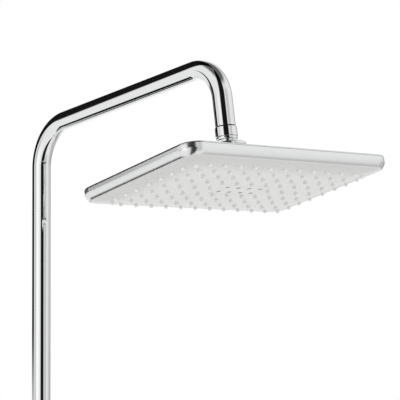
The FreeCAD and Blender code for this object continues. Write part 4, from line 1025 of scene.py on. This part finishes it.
@dataclass
class Studio:
    """Camera, soft surround, lamps and floor.

    Attributes:
        camera_place: The camera's place.
        camera_bearing: Where it looks, in degrees from +Y towards +X.
        camera_rise: How far it looks up, in degrees.
        camera_roll: Its roll, in degrees.
        lens: Focal length, in millimetres.
        sensor_width: Width of the camera's sensor, in millimetres.
        clip: Nearest and farthest distance that the camera sees.
        surround: Brightness of the white surround in reflections.
        fill: Brightness of its even light on the matt surfaces.
        shades: Dark flags and bright panels that only gloss reflects.
        softboxes: The lamps.
        floor_height: Height of the floor.
        floor_reach: Half the floor's side.
        floor_cells: Faces along each of its sides.
    """

    camera_place: Vector = field(default_factory=lambda: Vector((-1.413638, -1.920139, 0.859868)))
    camera_bearing: float = 41.912
    camera_rise: float = 3.568
    camera_roll: float = -0.203
    lens: float = 175.77
    sensor_width: float = 36.0
    clip: tuple[float, float] = (0.05, 100.0)
    surround: float = 0.86
    fill: float = 0.97
    shades: tuple[Shade, ...] = (
        # Behind the camera, from the floor up: the dark line down the riser, and its wider turn in the bends.
        Shade(-152.0, 19.0, -90.0, 14.0, 0.99, 4.0),
        Shade(-136.0, 28.0, 10.0, 90.0, 0.99, 4.0),
        # Beyond the wall, above and far below: the riser's left edge, the arm's top and the line under it.
        Shade(-4.0, 35.0, -2.0, 90.0, 0.99, 2.0),
        Shade(-4.0, 23.0, -70.0, -44.0, 0.99, 1.5),
        # Soft greys that model the tubes' flanks, with one bright panel.
        Shade(68.0, 14.0, -12.0, 40.0, 0.55, 12.0),
        Shade(-60.0, 8.0, -10.0, 8.0, 0.38, 6.0),
        Shade(-95.0, 14.0, -20.0, 12.0, -0.26, 12.0),
        Shade(95.0, 30.0, -60.0, 8.0, 0.40, 16.0),
        Shade(170.0, 14.0, -30.0, 40.0, 0.36, 12.0),
        # What the spray face mirrors: brighter at its middle, darker towards its edges.
        Shade(47.0, 20.0, -34.0, -8.0, -0.20, 10.0),
        Shade(60.0, 25.0, -70.0, -38.0, 0.40, 10.0),
        # The ceiling, which draws the thin dark line along the head's upper edge.
        Shade(0.0, 360.0, 52.0, 120.0, 0.85, 10.0),
    )
    softboxes: tuple[Softbox, ...] = (
        Softbox("key_softbox", (-2.6, -1.2, 2.4), 1.6, 28.0),
        Softbox("fill_softbox", (2.2, -2.4, 1.4), 2.0, 14.0),
    )
    floor_height: float = -0.95
    floor_reach: float = 14.0
    floor_cells: int = 8

    def build(self) -> None:
        """Set up the whole studio."""
        self.add_camera()
        self.add_surround()
        self.add_floor()
        for softbox in self.softboxes:
            softbox.hang()
        bpy.context.scene.view_settings.view_transform = "Standard"

    def add_camera(self) -> None:
        """Put the camera where the photograph was taken."""
        bearing, rise, roll = map(math.radians, (self.camera_bearing, self.camera_rise, self.camera_roll))
        ahead = Vector((math.sin(bearing) * math.cos(rise), math.cos(bearing) * math.cos(rise),
                        math.sin(rise)))
        level = Vector((math.cos(bearing), -math.sin(bearing), 0.0))
        upright = level.cross(ahead)
        right = level * math.cos(roll) + upright * math.sin(roll)
        up = upright * math.cos(roll) - level * math.sin(roll)
        data = bpy.data.cameras.new("photo_camera")
        data.lens = self.lens
        data.sensor_width = self.sensor_width
        data.clip_start, data.clip_end = self.clip
        camera = bpy.data.objects.new("photo_camera", data)
        turn = Matrix((right, up, -ahead)).transposed().to_4x4()
        camera.matrix_world = Matrix.Translation(self.camera_place) @ turn
        bpy.context.scene.collection.objects.link(camera)
        bpy.context.scene.camera = camera

    def add_surround(self) -> None:
        """A white surround, even for matt surfaces and with the flags for glossy ones."""
        world = bpy.data.worlds.new("studio_surround")
        bpy.context.scene.world = world
        world.use_nodes = True
        graph = Graph(world.node_tree)
        place = graph.add("SeparateXYZ")
        graph.feed(place.inputs[0], graph.add("TexCoord").outputs["Generated"])
        bearing = graph.maths("MULTIPLY", graph.maths("ARCTAN2", place.outputs[0], place.outputs[1]), DEGREES)
        height = graph.maths("MULTIPLY", graph.maths("ARCSINE", place.outputs[2]), DEGREES)
        light: object = self.surround
        for shade in self.shades:
            light = graph.maths("MULTIPLY", light, self.flag(graph, bearing, height, shade))
        path = graph.add("LightPath")
        mirrored = graph.add("Background")
        graph.feed(mirrored.inputs["Strength"], light)
        even = graph.add("Background")
        seen = graph.remap(path.outputs["Is Camera Ray"], 0.0, 1.0, self.fill, 1.0)
        graph.feed(even.inputs["Strength"], seen)
        mix = graph.add("MixShader")
        graph.feed(mix.inputs[0], path.outputs["Is Glossy Ray"])
        graph.feed(mix.inputs[1], even.outputs[0])
        graph.feed(mix.inputs[2], mirrored.outputs[0])
        for side in (mirrored, even):
            side.inputs["Color"].default_value = (1.0, 1.0, 1.0, 1.0)
        graph.feed(graph.add("OutputWorld").inputs["Surface"], mix.outputs[0])

    @staticmethod
    def flag(graph: Graph, bearing: bpy.types.NodeSocket, height: bpy.types.NodeSocket,
             shade: Shade) -> bpy.types.NodeSocket:
        """Return how much light comes back from behind one flag.

        Args:
            graph: The world's node tree.
            bearing: Socket with the direction's bearing in degrees.
            height: Socket with its elevation in degrees.
            shade: The flag.

        Returns:
            A socket that is 1 away from the flag and 1 less its depth inside it.
        """
        turn = graph.maths("WRAP", graph.maths("SUBTRACT", bearing, shade.bearing), 180.0, -180.0)
        near, far = shade.reach - shade.soft, shade.reach + shade.soft
        across = graph.remap(graph.maths("ABSOLUTE", turn), near, far, 1.0, 0.0, True)
        above = graph.remap(height, shade.low - shade.soft, shade.low + shade.soft, 0.0, 1.0, True)
        below = graph.remap(height, shade.high - shade.soft, shade.high + shade.soft, 1.0, 0.0, True)
        inside = graph.maths("MULTIPLY", across, graph.maths("MULTIPLY", above, below))
        return graph.maths("SUBTRACT", 1.0, graph.maths("MULTIPLY", inside, shade.depth))

    def add_floor(self) -> None:
        """A plain pale floor under the column."""
        mesh = bmesh.new()
        bmesh.ops.create_grid(mesh, x_segments=self.floor_cells, y_segments=self.floor_cells,
                              size=self.floor_reach)
        data = bpy.data.meshes.new("studio_floor")
        mesh.to_mesh(data)
        mesh.free()
        floor = bpy.data.objects.new("studio_floor", data)
        floor.location.z = self.floor_height
        floor.visible_glossy = floor.visible_diffuse = False
        bpy.context.scene.collection.objects.link(floor)
        dress(floor, BARE_FLOOR)


def main() -> None:
    """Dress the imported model, build the pieces and set up the studio."""
    logging.basicConfig(level=logging.INFO, format="%(message)s")
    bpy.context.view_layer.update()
    Studio().build()
    log.info("dressed %d carried nodes", dress_carried_nodes(frame))
    BentPipe().build()
    SoftNozzles().build()
    HoseOutlet().build()
    for side, station in (("hot", -INLET_STATION), ("cold", INLET_STATION)):
        EccentricUnion(f"{side}_eccentric_union", station).build()
    ButtonSpring().build()
    HandleScales().build()


if __name__ == "__main__":
    main()
